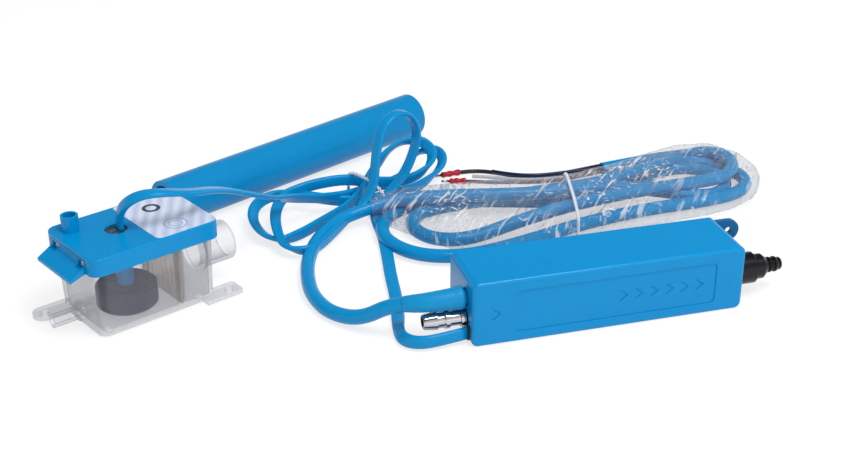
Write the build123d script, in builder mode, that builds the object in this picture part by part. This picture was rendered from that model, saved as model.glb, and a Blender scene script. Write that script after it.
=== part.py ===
from build123d import *
import os
from math import cos, radians, sin, sqrt, tan

os.makedirs("parts", exist_ok=True)

# Condensate pump set: an oscillating piston pump in a slim housing, its float-switch tank
# with a lift-off lid, the mains cable and sensor lead between and beside them, and a length
# of clear drain tube.
# Frame: millimetres, +Z up, origin at the centre of the pump's underside, +X from the
# inlet barb to the discharge barb, +Y toward the pump's back plate.

# ---------------------------------------------------------------- driving dimensions
# Pump housing
pump_length = 130.0
pump_depth = 33.0
pump_height = 31.4
cover_wall = 2.0
cover_corner = 3.2
cover_front_round = 1.6
panel_left_margin = 20.0
panel_right_margin = 14.0
panel_low = 5.2
panel_high = 25.5
panel_depth = 0.45
panel_corner = 2.5
chevron_height = 5.2
chevron_point = 3.2
chevron_stroke = 1.0
chevron_pitch = 7.4
chevron_count = 6
chevron_row_inset = 27.0
chevron_row_z = 15.6
chevron_lone_inset = 10.5
chevron_depth = 0.3
plate_thickness = 2.4
plate_clearance = 0.15
ear_radius = 5.4
ear_hole = 1.8
ear_reach = 6.8
ear_offset = 8.6
screw_inset = 4.6
screw_shank = 1.2
screw_head = 2.3
screw_length = 10.0
screw_clearance = 0.05
boss_radius = 2.75
boss_length = 9.0

# Flow line through the pump
line_y = -3.0
line_z = 12.9
barb_y = -6.0
barb_z = 10.5
fit_clearance = 0.05
face_gap = 0.1
chamber_radius = 8.6
chamber_inset = 6.0
chamber_end_wall = 3.5
chamber_length = 23.0
chamber_cavity = 6.6
chamber_mouth = 7.6
chamber_mouth_depth = 5.0
tube_radius = 5.4
tube_wall = 0.4
tube_flange_thickness = 2.2
strainer_flange = 0.8
strainer_radius = 5.5
strainer_wall = 0.6
strainer_length = 13.0
strainer_slots = 8
o_ring_section = 0.9
inlet_bore = 2.2
inlet_shank = 3.2
inlet_reach = 19.6
inlet_hole = 4.6
piston_clearance = 0.05
piston_bore = 1.8
piston_travel = 4.0
bumper_length = 4.9
ball_radius = 2.2
ball_pocket = 2.45
ball_travel = 1.0
retainer_thickness = 1.0
retainer_radius = 3.2
retainer_hole = 1.5
spring_free = 13.0
spring_mean = 4.3
spring_wire = 0.8
spring_turns = 5.5
spring_seat_thickness = 2.0
spring_seat_hole = 2.2
spring_seat_inset = 12.0
coil_to_block = 12.4
bobbin_core = 1.0
bobbin_flange = 1.2
bobbin_radius = 10.0
winding_gap = 0.4
yoke_sheet = 1.6
yoke_half = 10.2
block_inset = 15.0
block_length = 28.0
block_socket = 6.0
block_seat = 2.0
block_seat_hole = 2.0
block_chamber = 5.0
block_chamber_length = 14.0
block_mouth = 6.6
block_mouth_length = 6.0
valve_disc = 3.4
valve_disc_thickness = 1.6
valve_stem = 1.2
valve_stem_length = 4.4
valve_travel = 1.5
valve_spring_mean = 2.4
valve_spring_wire = 0.6
valve_spring_turns = 6.5
fitting_collar = 8.6
fitting_collar_length = 5.8
fitting_body = 7.4
fitting_body_reach = 11.5
fitting_nose = 5.9
fitting_nose_length = 4.5
fitting_bore = 2.0
ring_width = 6.0
ring_radius = 10.6
cradle_width = 3.0

# Electrics inside the housing
board_right_margin = 33.0
board_height = 25.4
board_thickness = 1.6
board_left_margin = 19.0
board_low = 3.0
standoff_height = 0.9
standoff_radius = 2.2
board_pin = 0.9

# Cable entries in the housing's left end
power_entry_z = 20.5
power_cable_diameter = 7.0
boot_radius = 4.4
boot_tip = 3.9
boot_reach = 16.0
boot_neck = 4.05
boot_flange = 5.2
boot_flange_thickness = 1.4
sensor_entry_y = -11.5
sensor_entry_z = 5.3
sensor_slot_height = 6.2
sensor_slot_width = 3.6
sensor_cable_diameter = 5.0
grommet_lip = 0.7

# Float-switch tank, in its own axes: u toward the inlet spigot, v toward the back
tank_x = -200.16
tank_y = 65.12
tank_yaw = 24.28
foot_height = 0.8
foot_radius = 2.0
tank_length = 59.0
tank_width = 37.6
tank_height = 37.25
tank_wall = 1.6
tank_floor = 2.0
tank_corner = 4.2
tank_draft = 2.0
lid_gap = 0.3
lid_plate = 2.0
lid_wall = 1.5
lid_skirt = 8.45
lid_corner = 5.0
lid_round = 0.8
seal_thickness = 0.8
seal_gap = 0.05
inlet_spigot_radius = 9.64
inlet_spigot_bore = 8.0
inlet_spigot_length = 18.2
inlet_spigot_z = 17.8
outlet_spigot_radius = 3.23
outlet_spigot_bore = 2.0
outlet_spigot_length = 14.5
outlet_spigot_z = 6.7
spigot_root = 1.1
spigot_root_step = 0.6
lug_thickness = 2.0
lug_hole = 1.9
left_lug_out = 10.1
left_lug_in = 1.9
left_lug_radius = 5.4
right_lug_out = 7.1
right_lug_in = 0.2
right_lug_length = 12.2
right_lug_width = 10.2
vent_in_u = 8.4
vent_in_v = 9.4
vent_radius = 4.0
vent_bore = 2.9
vent_height = 7.5
lead_hole_u = -8.3
lead_hole_v = 0.2
lead_hole_radius = 5.2
lead_collar = 1.2
lead_collar_depth = 2.9
potting_recess = 0.6
latch_width = 30.1
latch_gap = 0.35
latch_window = 4.8
latch_window_v = 11.8
latch_window_height = 3.6
latch_lip_reach = 7.7
latch_lip_drop = 2.45
catch_clearance = 0.3
catch_depth = 1.4
float_u = -6.3
float_radius = 14.1
float_height = 10.9
float_hole = 4.6
float_rise = 10.0
magnet_inner = 5.6
magnet_outer = 8.4
magnet_thickness = 2.0
stem_radius = 4.0
stem_wall = 0.9
stem_floor_gap = 0.6
filter_u = 12.4
filter_thickness = 1.2
filter_height = 33.0
filter_slot = 1.8
filter_slot_height = 23.0
filter_slot_pitch = 4.2
filter_slot_count = 7
guide_rib = 1.0
guide_depth = 2.4
label_left = 0.8
label_inset = 0.6
label_corner = 3.0
label_thickness = 0.2

# Drain tube lying beside the set
drain_x = -178.5
drain_y = 143.5
drain_yaw = 28.68
drain_length = 175.0
drain_radius = 12.4
drain_bore = 9.9

# Coiled cable, its bag and ties
hank_left = (-45.0, 93.0)
hank_left_radius = 34.5
hank_right = (100.0, 106.0)
hank_right_radius = 33.5
hank_hole_left = (-30.0, 98.0)
hank_hole_right = (85.0, 106.0)
hank_hole_radius = 8.0
hank_height = 14.2
bag_film = 0.5
bag_clearance = 0.3
bag_mouth_x = -48.0
tie_thickness = 0.8
tie_width = 3.0
sensor_hank_height = 10.7
sensor_hank_bottom = 0.3
loop_radius = 16.5
loop_bottom = 7.5
loop_rise = 27.0
loop_hole = 8.5
wire_diameter = 2.0
wire_lie = 1.1
crimp_radius = 1.6
crimp_pin = 0.7

# ---------------------------------------------------------------- derived places
half_length = pump_length / 2
half_depth = pump_depth / 2
inner_end = half_length - cover_wall
inner_top = pump_height - cover_wall
plate_front = half_depth - plate_thickness
ear_x = half_length + ear_reach
mid_z = pump_height / 2
boss_top = plate_front - plate_clearance
boss_low = boss_top - boss_length
panel_left = -half_length + panel_left_margin
panel_right = half_length - panel_right_margin
board_left = -half_length + board_left_margin
board_length = pump_length - board_left_margin - board_right_margin
chamber_start = -half_length + chamber_inset
chamber_end = chamber_start + chamber_length
block_end = half_length - block_inset
block_start = block_end - block_length
mouth_start = chamber_end - chamber_mouth_depth
tube_start = chamber_end - tube_flange_thickness
tube_end = block_start + block_socket - 2.0
tube_bore = tube_radius - tube_wall
bumper_start = chamber_end
piston_start = bumper_start + bumper_length + face_gap
piston_radius = tube_bore - piston_clearance
spring_seat_start = tube_end - spring_seat_inset
piston_end = spring_seat_start - spring_free
yoke_start = piston_start - 3.0
bobbin_start = yoke_start + yoke_sheet + face_gap
yoke_end = block_start - coil_to_block
bobbin_end = yoke_end - yoke_sheet - face_gap
bobbin_length = bobbin_end - bobbin_start
core_bore = tube_radius + fit_clearance
winding_radius = bobbin_radius - winding_gap
seat_wall_start = block_start + block_socket
valve_start = seat_wall_start + block_seat
block_chamber_end = valve_start + block_chamber_length
fitting_step = block_end + face_gap
fitting_body_start = fitting_step + fitting_collar_length
fitting_nose_start = half_length + fitting_body_reach
fitting_nose_end = fitting_nose_start + fitting_nose_length
left_ring = chamber_start + 5.0
right_ring = block_start + 12.0
line_plane = Plane(origin=(0, line_y, line_z), x_dir=(1, 0, 0), z_dir=(0, -1, 0))
line_axis = Axis((0, line_y, line_z), (1, 0, 0))
barb_plane = Plane(origin=(0, barb_y, barb_z), x_dir=(1, 0, 0), z_dir=(0, -1, 0))
barb_axis = Axis((0, barb_y, barb_z), (1, 0, 0))
back_face = Plane.XZ.offset(-half_depth)
screw_x = half_length - screw_inset
screw_z_low = screw_inset
screw_z_high = pump_height - screw_inset - 0.2
screw_points = [(x, z) for x in (-screw_x, screw_x) for z in (screw_z_low, screw_z_high)]
tank_seat = Location((tank_x, tank_y, 0), (0, 0, tank_yaw))
tank_bottom = foot_height
tank_rim = tank_bottom + tank_height
floor_top = tank_bottom + tank_floor
seal_bottom = tank_rim + seal_gap
plate_bottom = seal_bottom + seal_thickness
lid_top = plate_bottom + lid_plate
skirt_bottom = lid_top - lid_skirt
slope = tan(radians(tank_draft))
rim_length = tank_length + 2 * tank_height * slope
rim_width = tank_width + 2 * tank_height * slope
lid_length = rim_length + 2 * (lid_gap + lid_wall)
lid_width = rim_width + 2 * (lid_gap + lid_wall)
inlet_spigot_reach = tank_length / 2 + inlet_spigot_length
outlet_spigot_reach = tank_length / 2 + outlet_spigot_length
root_reach = rim_length / 2 + spigot_root_step
left_lug_u = -(tank_length / 2 + left_lug_out)
left_lug_v = tank_width / 2 - left_lug_in
right_lug_u = tank_length / 2 + right_lug_out
right_lug_v = -(tank_width / 2 - right_lug_in)
right_lug_reach = tank_length / 2 + right_lug_length
vent_u = -(lid_length / 2 - vent_in_u)
vent_v = lid_width / 2 - vent_in_v
label_right = lid_length / 2 - label_inset
label_width = lid_width - 2 * label_inset - 0.2
lid_end = -lid_length / 2
latch_top = lid_top - 1.6 - latch_gap
latch_inner = lid_end + lid_wall
window_top = latch_top - 0.75
window_low = window_top - latch_window_height


def save(builder, label, seat=Location()):
    """Label a finished piece, put it in its place and write it."""
    piece = builder.part.moved(seat)
    piece.label = label
    export_step(piece, f"parts/{label}.step")


def coil_points(start, length, radius, turns, steps=12):
    """Points along a coil spring on the flow line, a whole number of steps to a turn."""
    count = int(turns * steps)
    return [
        (
            start + length * i / count,
            line_y + radius * cos(radians(360 * i / steps)),
            line_z + radius * sin(radians(360 * i / steps)),
        )
        for i in range(count + 1)
    ]


def corner_radii(points):
    """Largest smooth arc at each corner of a cord's route."""
    radii = []
    for before, here, after in zip(points, points[1:], points[2:]):
        run_in = Vector(*here) - Vector(*before)
        run_out = Vector(*after) - Vector(*here)
        half_turn = radians(run_in.get_angle(run_out)) / 2
        radii.append(0.45 * min(run_in.length, run_out.length) / tan(half_turn))
    return radii


# ================================================================ pump housing
# Cover: a five-sided shell open at the back, with a sunk front panel, moulded flow arrows,
# half cradles for the rubber rings and four screw bosses.
with BuildPart() as pump_cover:
    with BuildSketch(back_face):
        with Locations((0, mid_z)):
            RectangleRounded(pump_length, pump_height, cover_corner)
    extrude(amount=pump_depth)
    fillet(pump_cover.edges().group_by(Axis.Y)[0], cover_front_round)
    offset(amount=-cover_wall, openings=pump_cover.faces().sort_by(Axis.Y)[-1])
    # sunk panel on the front
    with BuildSketch(Plane.XZ.offset(half_depth - panel_depth)):
        with Locations(((panel_left + panel_right) / 2, (panel_low + panel_high) / 2)):
            RectangleRounded(panel_right - panel_left, panel_high - panel_low, panel_corner)
    extrude(amount=panel_depth, mode=Mode.SUBTRACT)
    # flow arrows, engraved in the panel and beside it
    with BuildSketch(Plane.XZ.offset(half_depth - panel_depth - chevron_depth)):
        with Locations((panel_right - chevron_row_inset, chevron_row_z)):
            with GridLocations(chevron_pitch, 1, chevron_count, 1):
                Polygon(
                    (-chevron_point / 2, chevron_height / 2),
                    (-chevron_point / 2 + chevron_stroke, chevron_height / 2),
                    (chevron_point / 2 + chevron_stroke, 0),
                    (-chevron_point / 2 + chevron_stroke, -chevron_height / 2),
                    (-chevron_point / 2, -chevron_height / 2),
                    (chevron_point / 2, 0),
                    align=None,
                )
    extrude(amount=chevron_depth, mode=Mode.SUBTRACT)
    with BuildSketch(Plane.XZ.offset(half_depth - chevron_depth)):
        with Locations((-half_length + chevron_lone_inset, chevron_row_z)):
            Polygon(
                (-chevron_point / 2, chevron_height / 2),
                (-chevron_point / 2 + chevron_stroke, chevron_height / 2),
                (chevron_point / 2 + chevron_stroke, 0),
                (-chevron_point / 2 + chevron_stroke, -chevron_height / 2),
                (-chevron_point / 2, -chevron_height / 2),
                (chevron_point / 2, 0),
                align=None,
            )
    extrude(amount=chevron_depth, mode=Mode.SUBTRACT)
    # front halves of the ring cradles
    for ring_start in (left_ring, right_ring):
        with BuildSketch(Plane.YZ.offset(ring_start + (ring_width - cradle_width) / 2)):
            with Locations((-half_depth + cover_wall / 2, cover_wall / 2)):
                Rectangle(
                    8.5,
                    line_z + ring_radius + 0.6,
                    align=(Align.MIN, Align.MIN),
                )
            with Locations((line_y, line_z)):
                Circle(ring_radius + fit_clearance, mode=Mode.SUBTRACT)
        extrude(amount=cradle_width)
    # screw bosses joined to the end walls
    with BuildSketch(Plane.XZ.offset(-boss_top)):
        with Locations(*screw_points):
            Circle(boss_radius)
    extrude(amount=boss_length)
    with BuildSketch(Plane.XZ.offset(-boss_top)):
        with Locations(*screw_points):
            Circle(screw_shank + screw_clearance)
    extrude(amount=boss_length, mode=Mode.SUBTRACT)
    # openings in the left end: inlet barb, mains cable boot, sensor lead
    with BuildSketch(Plane.YZ.offset(-half_length)):
        with Locations((barb_y, barb_z)):
            Circle(inlet_hole)
        with Locations((barb_y, power_entry_z)):
            Circle(boot_neck + fit_clearance)
        with Locations((sensor_entry_y, sensor_entry_z)):
            SlotOverall(sensor_slot_height, sensor_slot_width, rotation=90)
    extrude(amount=cover_wall, mode=Mode.SUBTRACT)
    # opening in the right end for the discharge fitting
    with BuildSketch(Plane.YZ.offset(inner_end)):
        with Locations((line_y, line_z)):
            Circle(fitting_body + 0.2)
    extrude(amount=cover_wall, mode=Mode.SUBTRACT)
    # notches at the back for the two fixing ears
    for side in (-1, 1):
        with BuildSketch(Plane.XZ.offset(-(plate_front - plate_clearance))):
            with Locations((side * (half_length - cover_wall), mid_z + side * ear_offset)):
                Rectangle(2 * cover_wall + 0.4, 2 * (ear_radius + plate_clearance))
        extrude(amount=-(plate_thickness + plate_clearance), mode=Mode.SUBTRACT)
save(pump_cover, "pump_cover")

# Back plate: closes the shell, carries both ears, the rear halves of the cradles and the
# standoffs for the control board.
with BuildPart() as back_plate:
    with BuildSketch(back_face):
        with Locations((0, mid_z)):
            RectangleRounded(
                2 * (inner_end - plate_clearance),
                pump_height - 2 * (cover_wall + plate_clearance),
                cover_corner - cover_wall - plate_clearance,
            )
    extrude(amount=plate_thickness)
    for side in (-1, 1):
        with BuildSketch(back_face):
            with Locations((side * (inner_end - plate_clearance - 0.5), mid_z + side * ear_offset)):
                Rectangle(
                    ear_reach + cover_wall + plate_clearance + 0.5,
                    2 * ear_radius,
                    align=(Align.MIN if side > 0 else Align.MAX, Align.CENTER),
                )
            with Locations((side * ear_x, mid_z + side * ear_offset)):
                Circle(ear_radius)
        extrude(amount=plate_thickness)
        with BuildSketch(back_face):
            with Locations((side * ear_x, mid_z + side * ear_offset)):
                Circle(ear_hole)
        extrude(amount=plate_thickness, mode=Mode.SUBTRACT)
    # trim the ears' roots to the inside of the cover
    with BuildSketch(back_face):
        with Locations((0, pump_height - cover_wall - plate_clearance)):
            Rectangle(2 * inner_end, 2.0, align=(Align.CENTER, Align.MIN))
        with Locations((0, cover_wall + plate_clearance)):
            Rectangle(2 * inner_end, 2.0, align=(Align.CENTER, Align.MAX))
    extrude(amount=plate_thickness, mode=Mode.SUBTRACT)
    for ring_start in (left_ring, right_ring):
        with BuildSketch(Plane.YZ.offset(ring_start + (ring_width - cradle_width) / 2)):
            with Locations((plate_front + 0.5, cover_wall + plate_clearance + 0.3)):
                Rectangle(
                    plate_front - line_y - 3.5,
                    line_z + ring_radius - cover_wall + 0.8,
                    align=(Align.MAX, Align.MIN),
                )
            with Locations((line_y, line_z)):
                Circle(ring_radius + fit_clearance, mode=Mode.SUBTRACT)
        extrude(amount=cradle_width)
    with BuildSketch(Plane.XZ.offset(-plate_front)):
        with Locations((board_left + board_length / 2, board_low + board_height / 2)):
            with GridLocations(board_length - 8, board_height - 7, 2, 2):
                Circle(standoff_radius)
    extrude(amount=standoff_height)
    with BuildSketch(Plane.XZ.offset(-plate_front)):
        with Locations((board_left + board_length / 2, board_low + board_height / 2)):
            with GridLocations(board_length - 8, board_height - 7, 2, 2):
                Circle(board_pin)
    extrude(amount=standoff_height + board_thickness + 0.4)
    for x, z in screw_points:
        with Locations(Plane(origin=(x, half_depth, z), z_dir=(0, 1, 0))):
            CounterSinkHole(screw_shank + 0.1, screw_head + 0.1, plate_thickness)
save(back_plate, "back_plate")

# Four countersunk screws through the plate into the cover's bosses.
with BuildPart() as housing_screws:
    with BuildSketch(Plane.XZ.offset(-(half_depth - 0.1))):
        with Locations(*screw_points):
            Circle(screw_head)
    extrude(amount=screw_head - screw_shank, taper=45)
    with BuildSketch(Plane.XZ.offset(-(half_depth - 0.1))):
        with Locations(*screw_points):
            Circle(screw_shank)
    extrude(amount=screw_length)
    with BuildSketch(Plane.XZ.offset(-(half_depth - 0.1))):
        with Locations(*screw_points):
            RegularPolygon(0.9, 6)
    extrude(amount=0.8, mode=Mode.SUBTRACT)
save(housing_screws, "housing_screws")

# ================================================================ flow line
# Nickel-plated inlet barb: flared nose, one ridge, a collar and a shank glued into the
# chamber's end wall, off the chamber's centre.
with BuildPart() as inlet_barb:
    with BuildSketch(barb_plane):
        with BuildLine():
            Polyline(
                (-half_length - inlet_reach, inlet_bore),
                (-half_length - inlet_reach, 3.1),
                (-half_length - inlet_reach + 0.5, 3.5),
                (-half_length - 13.4, 4.2),
                (-half_length - 13.2, 3.6),
                (-half_length - 10.4, 3.6),
                (-half_length - 9.6, 4.2),
                (-half_length - 7.8, 4.2),
                (-half_length - 7.6, 3.5),
                (-half_length - 2.6, 3.5),
                (-half_length - 2.6, 4.2),
                (-half_length - 0.5, 4.2),
                (-half_length - 0.5, inlet_shank),
                (chamber_start + chamber_end_wall - 0.2, inlet_shank),
                (chamber_start + chamber_end_wall - 0.2, inlet_bore),
                close=True,
            )
        make_face()
    revolve(axis=barb_axis)
save(inlet_barb, "inlet_barb")

# Inlet chamber: a cup whose end wall takes the barb and whose mouth takes the strainer,
# an O-ring and the flange of the plunger tube.
with BuildPart() as inlet_chamber:
    with BuildSketch(line_plane):
        with BuildLine():
            Polyline(
                (chamber_start, 0),
                (chamber_start, chamber_radius - 0.8),
                (chamber_start + 0.8, chamber_radius),
                (chamber_end, chamber_radius),
                (chamber_end, chamber_mouth),
                (mouth_start, chamber_mouth),
                (mouth_start, chamber_cavity),
                (chamber_start + chamber_end_wall, chamber_cavity),
                (chamber_start + chamber_end_wall, 0),
                close=True,
            )
        make_face()
    revolve(axis=line_axis)
    with BuildSketch(Plane.YZ.offset(chamber_start)):
        with Locations((barb_y, barb_z)):
            Circle(inlet_shank + fit_clearance)
    extrude(amount=chamber_end_wall, mode=Mode.SUBTRACT)
save(inlet_chamber, "inlet_chamber")

# Strainer thimble with long slots.
with BuildPart() as inlet_strainer:
    with BuildSketch(line_plane):
        with BuildLine():
            Polyline(
                (mouth_start + face_gap, strainer_radius - strainer_wall),
                (mouth_start + face_gap + strainer_flange, strainer_radius - strainer_wall),
                (mouth_start + face_gap + strainer_flange, chamber_mouth - face_gap),
                (mouth_start + face_gap, chamber_mouth - face_gap),
                (mouth_start + face_gap, strainer_radius),
                (mouth_start - strainer_length, strainer_radius),
                (mouth_start - strainer_length, 0),
                (mouth_start - strainer_length + strainer_wall, 0),
                (mouth_start - strainer_length + strainer_wall, strainer_radius - strainer_wall),
                close=True,
            )
        make_face()
    revolve(axis=line_axis)
    with BuildSketch(Plane.YZ.offset(mouth_start - strainer_length + 2)):
        with Locations((line_y, line_z)):
            with PolarLocations(strainer_radius, strainer_slots):
                Rectangle(3.0, 1.6)
    extrude(amount=strainer_length - 4, mode=Mode.SUBTRACT)
save(inlet_strainer, "inlet_strainer")

# O-ring between the strainer's flange and the tube's flange.
o_ring_x = mouth_start + face_gap + strainer_flange + face_gap + o_ring_section
with BuildPart() as chamber_o_ring:
    with BuildSketch(line_plane):
        with Locations((o_ring_x, chamber_mouth - fit_clearance - o_ring_section)):
            RegularPolygon(o_ring_section, 8, major_radius=False, rotation=22.5)
    revolve(axis=line_axis)
save(chamber_o_ring, "chamber_o_ring")

# Stainless plunger tube with a turned-out flange.
with BuildPart() as plunger_tube:
    with BuildSketch(line_plane):
        with BuildLine():
            Polyline(
                (tube_start, tube_bore),
                (tube_start, chamber_mouth - face_gap),
                (chamber_end, chamber_mouth - face_gap),
                (chamber_end, tube_radius),
                (tube_end, tube_radius),
                (tube_end, tube_bore),
                close=True,
            )
        make_face()
    revolve(axis=line_axis)
save(plunger_tube, "plunger_tube")

# Rubber bumper that ends the piston's return stroke.
with BuildPart() as piston_bumper:
    with BuildSketch(line_plane):
        with BuildLine():
            Polyline(
                (bumper_start, inlet_bore),
                (bumper_start, tube_bore - fit_clearance),
                (bumper_start + bumper_length - 1.2, tube_bore - fit_clearance),
                (bumper_start + bumper_length, tube_bore - 1.0),
                (bumper_start + bumper_length, inlet_bore),
                close=True,
            )
        make_face()
    revolve(axis=line_axis)
save(piston_bumper, "piston_bumper")

# Piston: a steel plunger with a through bore and the pocket of the suction valve.
pocket_start = piston_end - retainer_thickness - ball_travel - 2 * ball_radius - 0.6
ball_x = pocket_start + sqrt(ball_radius**2 - piston_bore**2) + 0.08
with BuildPart() as piston:
    with BuildSketch(line_plane):
        with BuildLine():
            Polyline(
                (piston_start, piston_bore),
                (piston_start, piston_radius - 0.5),
                (piston_start + 0.5, piston_radius),
                (piston_end, piston_radius),
                (piston_end, retainer_radius),
                (piston_end - retainer_thickness, retainer_radius),
                (piston_end - retainer_thickness, ball_pocket),
                (pocket_start, ball_pocket),
                (pocket_start, piston_bore),
                close=True,
            )
        make_face()
    revolve(axis=line_axis)
save(piston, "piston")

with BuildPart() as suction_ball:
    with Locations((ball_x, line_y, line_z)):
        Sphere(ball_radius)
save(suction_ball, "suction_ball")

with BuildPart() as ball_retainer:
    with BuildSketch(Plane.YZ.offset(piston_end - retainer_thickness)):
        with Locations((line_y, line_z)):
            Circle(retainer_radius - fit_clearance)
            Circle(retainer_hole, mode=Mode.SUBTRACT)
    extrude(amount=retainer_thickness)
save(ball_retainer, "ball_retainer")

# Return spring and the ring that it works against.
with BuildPart() as piston_spring:
    with BuildLine() as coil:
        Polyline(
            *coil_points(
                piston_end + spring_wire / 2 + 0.1,
                spring_free - spring_wire - 0.2,
                spring_mean,
                spring_turns,
            )
        )
    with BuildSketch(coil.line ^ 0):
        RegularPolygon(spring_wire / 2, 6)
    sweep(transition=Transition.RIGHT)
save(piston_spring, "piston_spring")

with BuildPart() as spring_seat:
    with BuildSketch(Plane.YZ.offset(spring_seat_start)):
        with Locations((line_y, line_z)):
            Circle(tube_bore - fit_clearance)
            Circle(spring_seat_hole, mode=Mode.SUBTRACT)
    extrude(amount=spring_seat_thickness)
save(spring_seat, "spring_seat")

# Solenoid: bobbin on the tube, copper winding and a steel yoke round both.
with BuildPart() as coil_bobbin:
    with BuildSketch(line_plane):
        with BuildLine():
            Polyline(
                (bobbin_start, core_bore),
                (bobbin_start, bobbin_radius),
                (bobbin_start + bobbin_flange, bobbin_radius),
                (bobbin_start + bobbin_flange, core_bore + bobbin_core),
                (bobbin_end - bobbin_flange, core_bore + bobbin_core),
                (bobbin_end - bobbin_flange, bobbin_radius),
                (bobbin_end, bobbin_radius),
                (bobbin_end, core_bore),
                close=True,
            )
        make_face()
    revolve(axis=line_axis)
save(coil_bobbin, "coil_bobbin")

with BuildPart() as coil_winding:
    with BuildSketch(Plane.YZ.offset(bobbin_start + bobbin_flange + fit_clearance)):
        with Locations((line_y, line_z)):
            Circle(winding_radius)
            Circle(core_bore + bobbin_core + fit_clearance, mode=Mode.SUBTRACT)
    extrude(amount=bobbin_length - 2 * (bobbin_flange + fit_clearance))
save(coil_winding, "coil_winding")

with BuildPart() as solenoid_yoke:
    with BuildSketch(Plane.XY.offset(line_z - yoke_half)):
        with BuildLine():
            Polyline(
                (yoke_start, line_y - yoke_half),
                (yoke_start, line_y + yoke_half + yoke_sheet),
                (yoke_end, line_y + yoke_half + yoke_sheet),
                (yoke_end, line_y - yoke_half),
                (yoke_end - yoke_sheet, line_y - yoke_half),
                (yoke_end - yoke_sheet, line_y + yoke_half),
                (yoke_start + yoke_sheet, line_y + yoke_half),
                (yoke_start + yoke_sheet, line_y - yoke_half),
                close=True,
            )
        make_face()
    extrude(amount=2 * yoke_half)
    with BuildSketch(Plane.YZ.offset(yoke_start)):
        with Locations((line_y, line_z)):
            Circle(core_bore)
    extrude(amount=yoke_end - yoke_start, mode=Mode.SUBTRACT)
save(solenoid_yoke, "solenoid_yoke")

with BuildPart() as thermal_cutout:
    with BuildSketch(Plane.YZ.offset(bobbin_start + 14)):
        with Locations((line_y, line_z + winding_radius + fit_clearance + 1.6)):
            Circle(1.6)
    extrude(amount=10)
save(thermal_cutout, "thermal_cutout")

# Outlet block: socket for the tube, valve seat, valve chamber and the mouth for the fitting.
with BuildPart() as outlet_block:
    with BuildSketch(line_plane):
        with BuildLine():
            Polyline(
                (block_start, core_bore),
                (block_start, chamber_radius),
                (block_end, chamber_radius),
                (block_end, block_mouth),
                (block_chamber_end, block_mouth),
                (block_chamber_end, block_chamber),
                (valve_start, block_chamber),
                (valve_start, block_seat_hole),
                (seat_wall_start, block_seat_hole),
                (seat_wall_start, core_bore),
                close=True,
            )
        make_face()
    revolve(axis=line_axis)
save(outlet_block, "outlet_block")

with BuildPart() as delivery_valve:
    with BuildSketch(line_plane):
        with BuildLine():
            Polyline(
                (valve_start + fit_clearance, 0),
                (valve_start + fit_clearance, valve_disc),
                (valve_start + valve_disc_thickness, valve_disc),
                (valve_start + valve_disc_thickness, valve_stem),
                (valve_start + valve_disc_thickness + valve_stem_length, valve_stem),
                (valve_start + valve_disc_thickness + valve_stem_length, 0),
                close=True,
            )
        make_face()
    revolve(axis=line_axis)
save(delivery_valve, "delivery_valve")

valve_spring_length = block_chamber_length - valve_disc_thickness - valve_spring_wire - 0.2
with BuildPart() as delivery_spring:
    with BuildLine() as valve_coil:
        Polyline(
            *coil_points(
                valve_start + valve_disc_thickness + valve_spring_wire / 2 + 0.1,
                valve_spring_length,
                valve_spring_mean,
                valve_spring_turns,
            )
        )
    with BuildSketch(valve_coil.line ^ 0):
        RegularPolygon(valve_spring_wire / 2, 6)
    sweep(transition=Transition.RIGHT)
save(delivery_spring, "delivery_spring")

# Discharge fitting: spigot with an O-ring groove, collar, stepped body and a two-ridge barb.
groove_start = block_chamber_end + 2.0
groove_width = 2 * o_ring_section + 0.2
spigot_radius = block_mouth - face_gap
with BuildPart() as discharge_fitting:
    with BuildSketch(line_plane):
        with BuildLine():
            Polyline(
                (block_chamber_end + face_gap, fitting_bore),
                (block_chamber_end + face_gap, spigot_radius),
                (groove_start, spigot_radius),
                (groove_start, spigot_radius - 1.6),
                (groove_start + groove_width, spigot_radius - 1.6),
                (groove_start + groove_width, spigot_radius),
                (fitting_step, spigot_radius),
                (fitting_step, fitting_collar),
                (fitting_body_start, fitting_collar),
                (fitting_body_start, fitting_body),
                (fitting_nose_start - 0.6, fitting_body),
                (fitting_nose_start, fitting_body - 0.6),
                (fitting_nose_start, fitting_nose),
                (fitting_nose_end - 0.4, fitting_nose),
                (fitting_nose_end, fitting_nose - 0.4),
                (fitting_nose_end + 2.0, 4.0),
                (fitting_nose_end + 2.2, 3.1),
                (fitting_nose_end + 3.2, 3.1),
                (fitting_nose_end + 3.3, 3.7),
                (fitting_nose_end + 4.1, 3.7),
                (fitting_nose_end + 4.9, 3.1),
                (fitting_nose_end + 6.0, 3.1),
                (fitting_nose_end + 6.1, 3.7),
                (fitting_nose_end + 6.9, 3.7),
                (fitting_nose_end + 7.7, 3.1),
                (fitting_nose_end + 9.2, 3.0),
                (fitting_nose_end + 9.7, 2.6),
                (fitting_nose_end + 9.7, fitting_bore),
                close=True,
            )
        make_face()
    revolve(axis=line_axis)
save(discharge_fitting, "discharge_fitting")

with BuildPart() as outlet_o_ring:
    with BuildSketch(line_plane):
        with Locations((groove_start + groove_width / 2, block_mouth - fit_clearance - 0.8)):
            RegularPolygon(0.8, 8, major_radius=False, rotation=22.5)
    revolve(axis=line_axis)
save(outlet_o_ring, "outlet_o_ring")

# Rubber rings that carry the flow line in the housing.
with BuildPart() as mount_rings:
    for ring_start in (left_ring, right_ring):
        with BuildSketch(Plane.YZ.offset(ring_start)):
            with Locations((line_y, line_z)):
                Circle(ring_radius)
                Circle(chamber_radius + fit_clearance, mode=Mode.SUBTRACT)
        extrude(amount=ring_width)
save(mount_rings, "mount_rings")

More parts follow.
